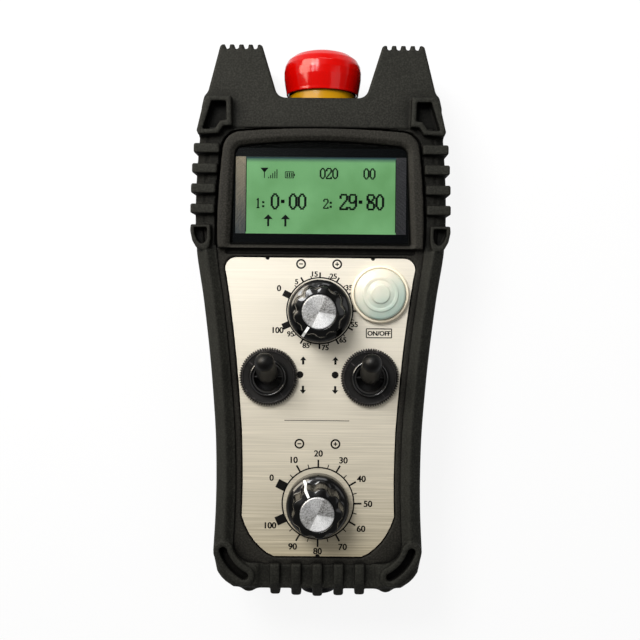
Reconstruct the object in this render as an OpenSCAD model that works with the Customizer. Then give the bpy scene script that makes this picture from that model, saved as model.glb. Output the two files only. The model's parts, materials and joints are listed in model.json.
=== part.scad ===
// Hand-held radio remote for a crane, lying on its back.
// X runs across the face, Y up towards the stop button, Z out of the face.
// The origin is at the middle of the back, on the surface that the unit lies on.

/* [Body] */
// Thickness of the boot over the back of the housing
boot_back_t = 2.5; // [2:0.1:4]
// Thickness of the boot's side and end walls
boot_wall = 3.2; // [2.6:0.1:4]
// Width of the side rail beside the face plate
rail_w = 6.6; // [6:0.1:7.4]
// Height of the side rail's crest over the housing face
rail_h = 3.2; // [2:0.1:4.5]
// Depth of the boot's end strip, from its outer edge to the housing face
end_strip_w = 9.4; // [8.6:0.1:10.4]
// Length of the plain cover over the top end of the housing
visor_len = 11.3; // [10:0.1:14]
// Height of that cover over the housing face, at the screen hood
visor_h = 0.4; // [0.2:0.1:1]
// Slope of that cover and of the horns, down towards the tips, in degrees
visor_slope = 7; // [0:0.5:7.5]

/* [Guard horns] */
// How far the two horns stand past the top end of the boot
horn_len = 19.75; // [18:0.05:26]
// Distance from the middle to a horn's inner corner at its root
horn_root_in = 15.3; // [15:0.1:17]
// Distance from the middle to a horn's inner corner at its tip
horn_tip_in = 21.7; // [20:0.1:24]
// Distance from the middle to a horn's outer corner at its tip
horn_tip_out = 37.4; // [35:0.1:40]
// Height of the horns' underside over the back
horn_low = 3; // [2:0.1:8]
// Number of grip notches across a horn's tip
notch_count = 4; // [2:1:4]
// Distance between two grip notches
notch_pitch = 3.4; // [3:0.1:3.8]
// Radius of a grip notch
notch_r = 0.85; // [0.5:0.05:1.1]

/* [Boot ribs and pockets] */
// Number of ribs on each side
rib_count = 4; // [2:1:4]
// Distance between two side ribs
rib_pitch = 7.2; // [6.6:0.1:7.4]
// Length of a side rib along the unit
rib_len = 3.5; // [2.5:0.1:4.5]
// How far a side rib stands out of the boot's side
rib_proud = 1.2; // [0.8:0.1:2]
// How far a side rib stands above the floor between the ribs
rib_rise = 1.6; // [0.8:0.1:2.4]
// Depth of the corner pockets
pocket_depth = 3; // [1.5:0.1:3.4]
// Height of the top corner blocks over the cover
block_rise = 3; // [1:0.1:4]
// Distance between two ribs of the lower end
end_rib_pitch = 7.6; // [7:0.1:8.2]
// Width of a rib of the lower end
end_rib_w = 3.6; // [2.6:0.1:4.4]
// How far the middle rib of the lower end stands out
end_rib_proud = 3.9; // [2.5:0.1:4.6]
// Width of the curved slot in a lower corner
corner_slot_w = 2.8; // [2:0.1:3.4]

/* [Housing] */
// Wall thickness of both shells
shell_wall = 2.2; // [1.8:0.1:2.8]
// Height of the back shell's walls over the housing back
back_shell_h = 8.1; // [7.4:0.1:8.8]
// Thickness of the seal between the shells
seal_t = 0.8; // [0.5:0.1:1.2]
// Height of the screen hood over the housing face
hood_h = 2.4; // [1.8:0.1:3]
// Rise of the arch at the hood's upper edge
hood_arch = 1; // [0.5:0.1:2]
// Width of the hood's sloped frame beside the window
hood_rim = 5.3; // [4.6:0.1:5.6]

/* [Face plate] */
// Length of the face plate
plate_len = 107.5; // [104:0.1:120]
// Thickness of the face plate
plate_t = 0.8; // [0.5:0.1:1.2]
// Width of the housing border between the boot and the face plate
border_w = 3; // [2:0.1:3.6]
// How far the face plate lies below that border
plate_sink = 0.6; // [0.2:0.1:1]
// Gap between the face plate and the screen hood
plate_hood_gap = 3.2; // [2.4:0.1:4]

/* [Display] */
// Thickness of the clear window
window_t = 1.5; // [1:0.1:2]
// Width of the metal strip on each side of the lit area
lcd_strip_w = 3.6; // [2:0.1:6]
// Height of the lit area
view_h = 27.7; // [22:0.1:28.5]
// Thickness of the display glass
lcd_glass_t = 1.6; // [1:0.1:2]
// Thickness of the backlight
lcd_light_t = 2.5; // [1.5:0.1:2.6]

/* [Speed knobs] */
// Distance from the plate's top edge to the upper knob's axis
dial_2_drop = 19; // [17:0.1:21]
// Distance from the plate's bottom edge to the lower knob's axis
dial_1_rise = 19.1; // [17:0.1:21]
// Radius of a knob's skirt
knob_r = 11.25; // [10.5:0.05:12]
// Radius of a knob's fluted grip at its top
grip_top_r = 8.2; // [7.6:0.1:9]
// Height of a knob over the face plate
knob_h = 15; // [14.2:0.1:18]
// Number of flutes round a knob
flute_count = 9; // [5:1:12]
// Radius of the aluminium cap in a knob's top
knob_cap_r = 5.95; // [5:0.05:6.6]
// Radius of a potentiometer's shaft
pot_shaft_r = 3; // [2.5:0.1:3.2]
// Radius of a potentiometer's case
pot_r = 10; // [8:0.1:11]
// Depth of a potentiometer's case
pot_depth = 9; // [7:0.1:10]

/* [Toggles] */
// Distance from the middle to a toggle's axis
toggle_x = 18.2; // [17.6:0.1:19]
// Distance from the upper knob's axis down to the toggles
toggle_drop = 23.8; // [23:0.1:26]
// Radius of a toggle's knurled nut
toggle_nut_r = 10.45; // [9:0.05:10.9]
// Number of teeth round a knurled nut
knurl_count = 72; // [36:4:90]
// Height of a toggle lever's pivot over the face plate
pivot_h = 2.5; // [2.2:0.1:3]
// Length of a toggle lever from its pivot to its tip
lever_len = 20.4; // [16:0.1:24]
// Depth of a toggle's case under the panel
toggle_case_depth = 13; // [12.6:0.1:15]
// Radius of the rubber sleeve on a lever
sleeve_r = 3.7; // [3.2:0.1:3.8]
// Lean of a lever in its upper position
lever_lean = 22.5; // [8:0.5:22.5]

/* [Power button] */
// Gap between the power button's ring and the upper knob
power_knob_gap = 0.72; // [0.5:0.01:2]
// Distance from the upper knob's axis up to the power button
power_up = 6.2; // [4:0.1:7]
// Outer radius of the button's beige ring
power_ring_r = 10.5; // [9.8:0.1:10.6]
// Radius of the soft cap
power_cap_r = 9.2; // [8.2:0.1:9.3]
// Height of the soft cap over the face plate
power_cap_h = 5.6; // [4.6:0.1:7]

/* [Stop button] */
// Greatest radius of the red head
stop_head_r = 14.5; // [13.5:0.1:14.8]
// Length of the red head along its axis
stop_head_len = 16.5; // [15:0.1:17]
// Radius of the yellow collar
stop_collar_r = 12.2; // [11:0.1:12.4]
// Length of the yellow collar
stop_collar_len = 6.05; // [5:0.05:6.1]
// Radius of the threaded barrel in the housing wall
stop_barrel_r = 8; // [7.5:0.1:8.4]

/* [Charge socket] */
// Height of the charge socket's axis over the back
charge_z = 18; // [17.6:0.1:19]
// Radius of the dust plug's cap
plug_r = 6.7; // [6:0.1:6.9]
// How far the dust plug's cap stands past the boot's lower edge
plug_reach = 6.5; // [4.8:0.1:8]
// Radius of the socket's bore
socket_bore_r = 4; // [3.2:0.1:4.2]
// Radius of the socket's barrel
socket_r = 5.4; // [5:0.1:5.8]

/* [Boards and battery] */
// Thickness of the main board
board_t = 1.6; // [1:0.1:1.6]
// Thickness of the foam between the battery pack and the main board
foam_t = 4.7; // [4:0.1:8]
// Width of the battery pack
battery_w = 46; // [40:0.5:48]
// Length of the battery pack
battery_len = 60; // [50:0.5:66]
// Thickness of the battery pack
battery_t = 8; // [6:0.1:9]

/* [Hidden] */
$fn = 64;
over = 1;
run_gap = 0.05;
seat_gap = 0.1;

// The housing is as deep as the stack of battery, board and switches that it holds
panel_t = 2.4;
switch_gap = 0.8;
shell_depth = shell_wall + battery_t + foam_t + board_t + switch_gap + toggle_case_depth + panel_t
    + plate_t + plate_sink;

// Levels over the back
z_shell = boot_back_t;
z_face = z_shell + shell_depth;
z_split = z_shell + back_shell_h;
z_front_low = z_split + seal_t;
z_plate = z_face - plate_sink;
z_plate_low = z_plate - plate_t;
z_panel = z_plate_low - panel_t;
z_inside = z_shell + shell_wall;
z_visor = z_face + visor_h;
end_step = 1.6;
z_end_face = z_face - end_step;
z_block = z_visor + block_rise;
z_hood = z_face + hood_h;
z_board = z_inside + battery_t + foam_t;
z_board_top = z_board + board_t;

// Places along the unit
window_low_rim = 1.8;
lcd_low_gap = 2.4;
lcd_high_gap = 4;
lcd_edge = 1.2;
lcd_h = view_h + lcd_edge * 2;
hood_len = window_low_rim + lcd_low_gap + lcd_h + lcd_high_gap + hood_rim - seat_gap;
plate_margin = 2;
core_len = end_strip_w + plate_margin + plate_len + plate_hood_gap + hood_len + visor_len;
unit_len = core_len + horn_len + plug_reach;
y_low = plug_reach - unit_len / 2;
y_high = y_low + core_len;
y_tip = unit_len / 2;
y_plate_low = y_low + end_strip_w + plate_margin;
y_plate_top = y_plate_low + plate_len;
y_hood_low = y_plate_top + plate_hood_gap;
y_hood_top = y_hood_low + hood_len;
y_dial_1 = y_plate_low + dial_1_rise;
y_dial_2 = y_plate_top - dial_2_drop;
y_toggle = y_dial_2 - toggle_drop;
y_power = y_dial_2 + power_up;

// The boot's outline, as shares of its half width and of its length
corner_shares = [[0.46, 0], [0.655, 0.002], [0.72, 0.0135], [0.755, 0.0225], [0.785, 0.034]];
toe_shares = [[0.46, 0], [0.535, -0.009], [0.575, -0.007], [0.655, 0.002], [0.655, 0.02], [0.46, 0.02]];
side_shares = [[0.074, 0.82], [0.123, 0.808], [0.172, 0.801], [0.221, 0.799], [0.269, 0.802],
    [0.319, 0.808], [0.367, 0.822], [0.416, 0.837], [0.465, 0.855], [0.514, 0.876], [0.563, 0.9],
    [0.611, 0.924], [0.66, 0.96], [0.7, 0.978], [0.735, 0.985], [0.78, 0.985], [0.83, 0.98],
    [0.878, 0.968], [0.915, 0.957], [0.96, 0.942], [1.06, 0.872]];

function share_at(y) = lookup((y - y_low) / core_len, side_shares);

// The boot is as wide as the toggles and the power button need beside them
plate_inset = rail_w + border_w;
toggle_edge_gap = 0.49;
power_edge_gap = 0.55;
power_x = sqrt(pow(knob_r + power_ring_r + power_knob_gap, 2) - pow(power_up, 2));
boot_half_w = max((toggle_x + toggle_nut_r + toggle_edge_gap + plate_inset) / share_at(y_toggle),
    (power_x + power_ring_r + power_edge_gap + plate_inset) / share_at(y_power));
function half_w_at(y) = boot_half_w * share_at(y);
function unit_of(v) = v / norm(v);
function left_of(v) = [-v.y, v.x];
function mirrored(right) = concat(right, [for (i = [len(right) - 2 : -1 : 1]) [-right[i].x, right[i].y]]);
function inset(p, d) = [for (i = [0 : len(p) - 1])
    let (a = p[(i + len(p) - 1) % len(p)], b = p[i], c = p[(i + 1) % len(p)],
        n = left_of(unit_of(b - a)), m = unit_of(n + left_of(unit_of(c - b))))
    b + m * d / (m * n)];
function arc(centre, r, from, to, steps) = [for (i = [0 : steps])
    centre + r * [cos(from + (to - from) * i / steps), sin(from + (to - from) * i / steps)]];

// The boot's outline, drawn past its top end and then cut off there, a set distance inside it
long_outline = mirrored(concat([[0, y_low]],
    [for (s = corner_shares) [s.x * boot_half_w, y_low + s.y * core_len]],
    [for (s = side_shares) [s.y * boot_half_w, y_low + s.x * core_len]],
    [[0, y_low + side_shares[len(side_shares) - 1].x * core_len]]));
function cut_off(p, y_max) = [for (i = [0 : len(p) - 1])
    if (p[i].y < y_max) p[i] else for (j = [i - 1, i + 1]) let (q = p[j % len(p)])
        if (q.y < y_max) q + (p[i] - q) * (y_max - q.y) / (p[i].y - q.y)];
function outline_in(d) = cut_off(inset(long_outline, d), y_high - d);
core_outline = outline_in(0);
shell_outline = outline_in(boot_wall);
cavity_outline = outline_in(boot_wall + shell_wall);

// The opening in the boot's front, which the hood fills at its upper end
strip_w_low = 7.6;
strip_w_top = 8.9;
open_corner_r = 7;
hood_corner_r = 6;
arc_steps = 6;
y_open_low = y_low + end_strip_w;
rail_steps = 9;
y_rail_top = y_plate_top - hood_corner_r;
function cover_at(y) = lookup(y, [[y_rail_top, rail_w], [y_hood_low, strip_w_low],
    [y_hood_top, strip_w_top]]);
function opening_at(y) = half_w_at(y) - cover_at(y);
y_open_side = y_open_low + open_corner_r;
y_hood_side = y_hood_top - hood_arch - hood_corner_r;
function spaced(from, to, steps) = [for (i = [0 : steps]) from + (to - from) * i / steps];
open_side = [for (y = spaced(y_open_side, y_hood_side, rail_steps + arc_steps)) [opening_at(y), y]];
open_outline = mirrored(concat([[0, y_open_low]],
    arc([opening_at(y_open_side) - open_corner_r, y_open_side], open_corner_r, -90, -15, arc_steps),
    open_side,
    arc([opening_at(y_hood_side) - hood_corner_r, y_hood_side], hood_corner_r, 15, 90, arc_steps),
    [[0, y_hood_top]]));

// The face plate's outline
plate_top_r = 4;
plate_corner_w = 11.7;
plate_corner_h = 14.4;
plate_corner_shares = [[1, 0], [0.78, 0.085], [0.57, 0.225], [0.4, 0.37], [0.26, 0.525], [0.11, 0.76],
    [0, 1]];
function plate_at(y) = half_w_at(y) - plate_inset;
y_plate_bend = y_plate_low + plate_corner_h;
y_plate_side = y_plate_top - plate_top_r;
plate_outline = mirrored(concat([[0, y_plate_low]],
    [for (s = plate_corner_shares)
        [plate_at(y_plate_bend) - s.x * plate_corner_w, y_plate_low + s.y * plate_corner_h]],
    [for (y = spaced(y_plate_bend + plate_top_r, y_plate_side - plate_top_r, rail_steps))
        [plate_at(y), y]],
    arc([plate_at(y_plate_side) - plate_top_r, y_plate_side], plate_top_r, 0, 90, arc_steps),
    [[0, y_plate_top]]));

// The window, sunk in the hood
window_arch = 1.7;
window_corner_r = 3;
window_top_rim = hood_rim - seat_gap;
y_window_low = y_hood_low + window_low_rim;
y_window_top = y_hood_top - window_top_rim;
y_window_side = y_window_top - window_arch - window_corner_r;
function window_at(y) = opening_at(y) - hood_rim;
window_outline = mirrored(concat([[0, y_window_low], [window_at(y_window_low), y_window_low]],
    arc([window_at(y_window_side) - window_corner_r, y_window_side], window_corner_r, 0, 80, arc_steps),
    [[0, y_window_top]]));

// The display stack under the window
window_sink = 0.8;
z_window_low = z_hood - window_sink - window_t;
lcd_lip_t = 0.6;
lcd_wall = 0.7;
lcd_side_gap = 1.1;
y_lcd = y_window_low + lcd_low_gap + lcd_h / 2;
lcd_w = (window_at(y_lcd) - lcd_side_gap) * 2;
view_w = lcd_w - lcd_strip_w * 2;
z_glass_top = z_window_low - lcd_lip_t;
z_glass_low = z_glass_top - lcd_glass_t;
z_light_low = z_glass_low - lcd_light_t;
display_board_rim = 4.4;
display_board_side = 2.95;
display_board_w = lcd_w + display_board_rim * 2;
display_board_h = lcd_h + display_board_side * 2;
display_board_t = 1.2;
z_display = z_light_low - display_board_t;
display_screw_r = 1;
display_head_r = 1.7;
display_head_t = 0.6;
display_bite = 1.6;
display_edge = 2;
display_hole_x = display_board_w / 2 - display_edge;
display_hole_y = display_board_h / 2 - display_edge;
display_pad_r = 1.9;
ribbon_w = 20;
ribbon_t = 0.3;
ribbon_in = 3;
y_ribbon = y_lcd - display_board_h / 2 + ribbon_in;

// The main board, its screws and what stands on it
toggle_case_w = 13;
toggle_case_len = 22;
board_high_gap = 17.5;
y_board_low = y_plate_low + plate_margin;
y_board_high = y_hood_low + board_high_gap;
board_boss_r = 3;
board_boss_in = 4;
board_boss_gap = 0.3;
board_screw_r = 1.25;
board_screw_grip = 6;
board_head_r = 2.3;
board_head_t = 1.4;
board_boss_ys = [y_board_low + board_boss_in,
    y_lcd - display_board_h / 2 - board_boss_r - board_boss_gap];
radio_w = 20;
radio_h = 16;
radio_t = 3;
radio_gap = 3;
y_radio = y_toggle - toggle_case_len / 2 - radio_gap - radio_h / 2;
antenna_r = 2.2;
antenna_len = 13;
antenna_drop = 4;
buzzer_r = 6;
buzzer_h = 6.5;
buzzer_x = 14;
buzzer_up = 12.4;
battery_low_gap = 34;
y_battery = y_plate_low + battery_low_gap + battery_len / 2;
z_battery_top = z_inside + battery_t;
tray_wall = 1.5;
tray_h = 5;
tray_gap = 0.3;
foam_w = 30;
foam_len = 40;

// The screws that join the two shells
boss_r = 3.2;
boss_side_gap = 0.3;
shell_screw_r = 1.5;
shell_screw_top = 12.8;
shell_head_r = 2.75;
shell_head_t = 2;
screw_mid_drop = 29.5;
screw_low_rise = 6;
screw_top_in = 3;
y_screw_top = y_hood_top - boss_side_gap;
y_screw_mid = y_plate_top - screw_mid_drop;
y_screw_low = y_plate_low + screw_low_rise;
function boss_x_at(y) = half_w_at(y) - boot_wall - shell_wall - boss_side_gap - boss_r;
screw_places = [for (side = [-1, 1]) for (p = [
    [boss_x_at(y_screw_top) - screw_top_in, y_screw_top],
    [boss_x_at(y_screw_mid), y_screw_mid],
    [boss_x_at(y_screw_low) - boss_side_gap, y_screw_low]]) [side * p.x, p.y]];
board_side_gap = 1.05;
board_w = (boss_x_at(y_screw_low) - boss_side_gap - boss_r - board_side_gap) * 2;
board_boss_x = board_w / 2 - board_boss_in;

// Potentiometers and knobs
pot_bush_r = 4.7;
pot_washer_r = 6.4;
pot_washer_t = 0.5;
pot_nut_af = 12;
pot_nut_t = 2;
pot_bush_top = 3.4;
pot_pin_w = 1.2;
pot_pin_t = 0.6;
pot_pin_pitch = 5;
pot_pin_in = 2;
shaft_foot = 3.5;
knob_lift = 0.6;
knob_wall = 2.4;
knob_recess = 4.2;
cap_sink = 1.2;
cap_proud = 0.25;
knob_edge_h = 2;
skirt_top_h = 6.4;
grip_low_r = 9.9;
grip_low_h = 7.6;
skirt_chamfer = 0.35;
flute_r = 2;
flute_out = 0.9;
knob_screw_r = 1.5;
knob_screw_len = 4.5;
screw_over = 3;
function hex_r(af) = af / sqrt(3);

// Toggle switches
toggle_bush_r = 6;
toggle_bush_h = 4.2;
toggle_bore_r = 5.05;
toggle_mouth_r = 5.45;
toggle_collar_r = 6.8;
toggle_nut_t = 3;
toggle_collar_h = 5;
toggle_dish_r = 9.2;
toggle_dish_t = 0.5;
knurl_depth = 0.35;
toggle_bore_foot = 1.6;
pin_r = 0.75;
ball_r = 2.4;
rod_r = 2;
tail_r = 1.2;
tail_len = 3.4;
sleeve_foot = 1;
sleeve_tip_r = 3.4;
rod_short = 3;
tab_w = 2;
tab_t = 0.6;
tab_pitch = 7;

// Power button
power_travel = 1.5;
power_ring_h = 2.2;
power_ring_gap = 0.15;
power_barrel_r = 7;
power_barrel_h = 1.4;
power_case_low = 8.8;
power_hole_gap = 0.15;
power_skirt_up = 1.7;
power_cap_wall = 1.2;
power_cap_roof = 1.3;
power_edge_h = 3.4;
power_step_r = 6.35;
power_step_h = 4.6;
power_crown_r = 3.1;
power_plunger_r = 3;
power_plunger_foot = 4;
power_nut_af = 19;
power_nut_t = 2;
power_pin_x = 3;

// Stop button, along its own axis from the housing's outer wall
y_stop = y_high - boot_wall;
stop_rim_gap = 0.35;
stop_rim_r = 13.65;
stop_crease = 1.6;
stop_dome_shares = [[1, 0.54], [0.985, 0.66], [0.93, 0.79], [0.81, 0.9], [0.6, 0.97], [0.3, 1]];
stop_skirt_wall = 0.85;
stop_hollow = 4.6;
stop_stem_r = 3;
stop_hub_depth = 3.4;
stop_shoulder_r = 5.6;
stop_shoulder_t = 2;
stop_barrel_in = 8.35;
stop_flange_r = 10;
stop_flange_t = 1.5;
stop_pot_r = 6.2;
stop_pot_low = 2.2;
stop_nut_af = 18;
stop_nut_t = 3;
stop_block_w = 17;
stop_block_gap = 0.3;
stop_z = z_display - stop_block_gap - stop_block_w / 2;
stop_block_len = 22;
stop_block_bore_r = 3.4;
stop_block_bore = 12;
stop_stem_in = 14;
stop_boot_gap = 0.3;
spring_r = 4.9;
spring_wire_r = 0.4;
spring_turns = 5;
spring_steps = 14;
spring_sides = 6;

// Charge socket
y_charge = y_low + boot_wall;
socket_flange_r = 6.5;
socket_flange_t = 1.2;
socket_len = 8.2;
socket_bore_len = 8.3;
charge_nut_af = 13;
charge_nut_t = 2.5;
plug_stud_len = 6.8;
plug_fillet = 1.2;
plug_boot_gap = 0.45;

// Ribs, blocks and slots of the boot
step_out = 0.6;
step_in = 1.6;
z_step_1 = 1.2;
z_step_2 = 3;
z_step_3 = 4;
rail_foot_in = 1;
rail_crest_out = 2.6;
rail_crest_in = 1.5;
rail_mid_share = 0.45;
strip_rise = 0.4;
z_rib = z_face + strip_rise + rib_rise;
rib_low = 5;
rib_foot_gap = 0.3;
rib_first_up = 14;
y_rib_first = y_hood_low + rib_first_up;
block_low = 6;
top_block_w = 12.6;
top_block_h = 13.9;
top_block_in = 0.6;
top_block_shares = [[0.69, 1], [0.03, 1], [0, 0.24], [0.24, 0.22], [0.38, 0.03], [0.95, 0],
    [1, 0.11], [0.81, 0.86]];
top_pocket_shares = [[0.58, 0.87], [0.17, 0.87], [0.15, 0.38], [0.33, 0.36], [0.47, 0.16], [0.83, 0.14]];
top_block_x = 31.9;
side_block_w = 7.4;
side_block_h = 9.2;
side_block_shares = [[0.98, 1], [0.02, 1], [0, 0.4], [0.15, 0.09], [0.38, 0], [0.61, 0.22], [1, 0.89]];
side_pocket_shares = [[0.78, 0.82], [0.24, 0.82], [0.22, 0.45], [0.4, 0.24]];
side_block_x = 39.1;
side_block_gap = 1.2;
slot_r = 16;
slot_centre_x = 18.5;
slot_centre_up = 19.3;
slot_from = -64;
slot_to = -17;
slot_depth = 1.8;
corner_x = 20.4;
corner_rise = 2.2;
corner_top_up = 12;
end_rib_sides = [-2, -1, 0, 1, 2];
end_rib_drop = 0.45;
end_rib_in = 1.2;
end_rib_flat = 2.6;
end_rib_rise = 2.4;
end_rib_slope = 6;
end_rib_low = 4;
back_pad_w = 52;
back_pad_len = 92;
back_pad_depth = 1;
back_bar_count = 9;
back_bar_len = 5;

module plate_of(outline, from, to) {
    translate([0, 0, from]) linear_extrude(to - from) polygon(outline);
}

module ring_of(outer_in, inner_in, from, to) {
    difference() {
        plate_of(outline_in(outer_in), from, to);
        plate_of(outline_in(inner_in), from - over, to + over);
    }
}

module both_sides() {
    children();
    mirror([1, 0, 0]) children();
}

module band(y_from, y_to, z_from, z_to) {
    translate([-boot_half_w * 2, y_from, z_from]) cube([boot_half_w * 4, y_to - y_from, z_to - z_from]);
}

module centred_box(x, y, z, size) {
    translate([x - size.x / 2, y - size.y / 2, z]) cube(size);
}

module post(x, y, z, r, h) {
    translate([x, y, z]) cylinder(r = r, h = h);
}

module along_y(y, z) {
    translate([0, y, z]) rotate([-90, 0, 0]) children();
}

// The boot

module boot_horn() {
    z_horn = z_visor;
    root_y = y_high - over;
    root_x = half_w_at(y_high);
    translate([0, 0, horn_low]) linear_extrude(z_horn - horn_low) difference() {
        polygon([[horn_root_in, root_y], [root_x, root_y], [horn_tip_out, y_tip], [horn_tip_in, y_tip]]);
        for (i = [0 : notch_count - 1]) {
            notch_x = (horn_tip_in + horn_tip_out) / 2 + (i - (notch_count - 1) / 2) * notch_pitch;
            translate([notch_x, y_tip - notch_r]) circle(r = notch_r);
            translate([notch_x - notch_r, y_tip - notch_r]) square([notch_r * 2, notch_r + over]);
        }
    }
}

module boot_rails() {
    rail_top = z_face + rail_h;
    rail_mid = z_face + rail_h * rail_mid_share;
    y_rail = y_hood_low;
    intersection() {
        union() {
            difference() {
                plate_of(outline_in(rail_foot_in), z_face - over, rail_mid);
                plate_of(open_outline, z_face - over * 2, rail_mid + over);
            }
            ring_of(rail_crest_out, rail_w - rail_crest_in, z_face - over, rail_top);
        }
        band(y_low + corner_top_up, y_rail, z_face - over * 2, rail_top + over);
    }
}

module boot_corners() {
    corner_top = z_face + corner_rise;
    intersection() {
        difference() {
            plate_of(outline_in(rail_foot_in), z_face - over, corner_top);
            plate_of(open_outline, z_face - over * 2, corner_top + over);
        }
        both_sides() translate([corner_x, y_low - over * 2, z_face - over])
            cube([boot_half_w, corner_top_up + over * 2, corner_rise + over]);
    }
}

function top_block(shares) = [for (s = shares)
    [top_block_x + s.x * top_block_w, y_high - top_block_h - top_block_in + s.y * top_block_h]];

function side_block(shares) = [for (s = shares)
    [side_block_x + s.x * side_block_w,
        y_rib_first - rib_len / 2 - side_block_gap + (s.y - 1) * side_block_h]];

module boot_side_ribs() {
    for (i = [0 : rib_count - 1]) {
        rib_y = y_rib_first + i * rib_pitch;
        rib_in = opening_at(rib_y) + rib_foot_gap;
        translate([rib_in, rib_y - rib_len / 2, rib_low])
            cube([half_w_at(rib_y) + rib_proud - rib_in, rib_len,
                z_rib - rib_low]);
    }
}

module boot_end_ribs() {
    rib_top = z_face + end_rib_rise;
    for (i = end_rib_sides) {
        y_out = y_low - end_rib_proud + abs(i) * end_rib_drop;
        y_in = y_open_low + end_rib_in;
        translate([i * end_rib_pitch - end_rib_w / 2, 0, 0]) rotate([90, 0, 90])
            linear_extrude(end_rib_w) polygon([[y_in, z_face - over], [y_in, rib_top],
                [y_in - end_rib_flat, rib_top], [y_out, rib_top - end_rib_slope],
                [y_out, end_rib_low], [y_low + over, end_rib_low], [y_low + over, z_face - over]]);
    }
}

module boot_slots() {
    centre = [slot_centre_x, y_low + slot_centre_up];
    corner_top = z_face + corner_rise;
    both_sides() plate_of(concat(
        arc(centre, slot_r + corner_slot_w / 2, slot_from, slot_to, arc_steps),
        arc(centre, slot_r - corner_slot_w / 2, slot_to, slot_from, arc_steps)),
        corner_top - slot_depth, corner_top + over);
}

module boot_back_grip() {
    bar_pitch = back_pad_len / back_bar_count;
    difference() {
        centred_box(0, y_dial_2 - toggle_drop, -over, [back_pad_w, back_pad_len, back_pad_depth + over]);
        for (i = [0 : back_bar_count - 1])
            centred_box(0, y_dial_2 - toggle_drop + (i - (back_bar_count - 1) / 2) * bar_pitch,
                -over * 2, [back_pad_w + over, back_bar_len, back_pad_depth + over * 3]);
    }
}

module boot_case() {
    plate_of(outline_in(step_in), 0, z_step_2);
    plate_of(outline_in(step_out), z_step_1, z_face + strip_rise);
    plate_of(core_outline, z_step_3, z_face - z_step_2);
    both_sides() plate_of([for (s = toe_shares) [s.x * boot_half_w, y_low + s.y * core_len]],
        z_step_3, z_face - z_step_2);
}

module boot_top_slope() {
    translate([-boot_half_w * 2, y_hood_top, z_visor]) rotate([-visor_slope, 0, 0])
        cube([boot_half_w * 4, unit_len, shell_depth]);
}

module boot_openings() {
    plate_of(open_outline, z_end_face, z_block + over);
    along_y(y_stop - over, stop_z) cylinder(r = stop_collar_r + stop_boot_gap, h = boot_wall + over * 2);
    along_y(y_low - end_rib_proud - over, charge_z)
        cylinder(r = plug_r + plug_boot_gap, h = boot_wall + end_rib_proud + over * 2);
}

module housing_space() {
    plate_of(shell_outline, z_shell, z_end_face);
    intersection() {
        plate_of(shell_outline, z_end_face - over, z_face);
        band(y_low, y_hood_top, z_end_face - over, z_face);
    }
}

module rubber_boot() {
    color("#33322c") difference() {
        union() {
            difference() {
                union() {
                    boot_case();
                    both_sides() boot_horn();
                }
                boot_top_slope();
            }
            boot_rails();
            boot_corners();
            boot_end_ribs();
            both_sides() {
                plate_of(top_block(top_block_shares), block_low, z_block);
                plate_of(side_block(side_block_shares), block_low, z_rib);
                boot_side_ribs();
            }
        }
        housing_space();
        boot_openings();
        both_sides() {
            plate_of(top_block(top_pocket_shares), z_block - pocket_depth, z_block + over);
            plate_of(side_block(side_pocket_shares), z_face + strip_rise, z_rib + over);
        }
        boot_slots();
        boot_back_grip();
    }
}

// The housing

module front_shell() {
    color("#2a2926") difference() {
        union() {
            difference() {
                intersection() {
                    housing_space();
                    plate_of(shell_outline, z_front_low, z_face + over);
                }
                plate_of(cavity_outline, z_front_low - over, z_panel);
            }
            intersection() {
                plate_of(open_outline, z_panel, z_hood);
                band(y_hood_low, y_hood_top + over, z_panel - over, z_hood + over);
            }
            for (p = screw_places) post(p.x, p.y, z_front_low, boss_r, z_panel - z_front_low + over);
            for (side = [-1, 1]) for (y = board_boss_ys)
                post(side * board_boss_x, y, z_board_top, board_boss_r, z_panel - z_board_top + over);
            for (x = [-1, 1]) for (y = [-1, 1])
                post(x * display_hole_x, y_lcd + y * display_hole_y, z_light_low, display_pad_r,
                    z_panel - z_light_low + over);
        }
        plate_of(inset(plate_outline, -seat_gap), z_plate_low, z_face + over);
        plate_of(inset(window_outline, -seat_gap), z_window_low, z_hood + over);
        centred_box(0, y_lcd, z_panel - over, [lcd_w + seat_gap * 2, lcd_h + seat_gap * 2,
            z_window_low - z_panel + over * 2]);
        for (y = [y_dial_1, y_dial_2]) post(0, y, z_panel - over, pot_bush_r + seat_gap, shell_depth);
        for (side = [-1, 1])
            post(side * toggle_x, y_toggle, z_panel - over, toggle_bush_r + seat_gap, shell_depth);
        post(power_x, y_power, z_panel - over, power_barrel_r + power_hole_gap, shell_depth);
        for (p = screw_places) post(p.x, p.y, z_front_low - over, shell_screw_r, shell_screw_top + over);
        for (side = [-1, 1]) for (y = board_boss_ys)
            post(side * board_boss_x, y, z_board_top - over, board_screw_r, board_screw_grip + over);
        for (x = [-1, 1]) for (y = [-1, 1])
            post(x * display_hole_x, y_lcd + y * display_hole_y, z_light_low - over, display_screw_r,
                display_bite + over);
        along_y(y_stop - shell_wall - over, stop_z)
            cylinder(r = stop_barrel_r + seat_gap, h = shell_wall + over * 2);
        along_y(y_charge - over, charge_z) cylinder(r = socket_r + seat_gap, h = shell_wall + over * 2);
    }
}

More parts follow.
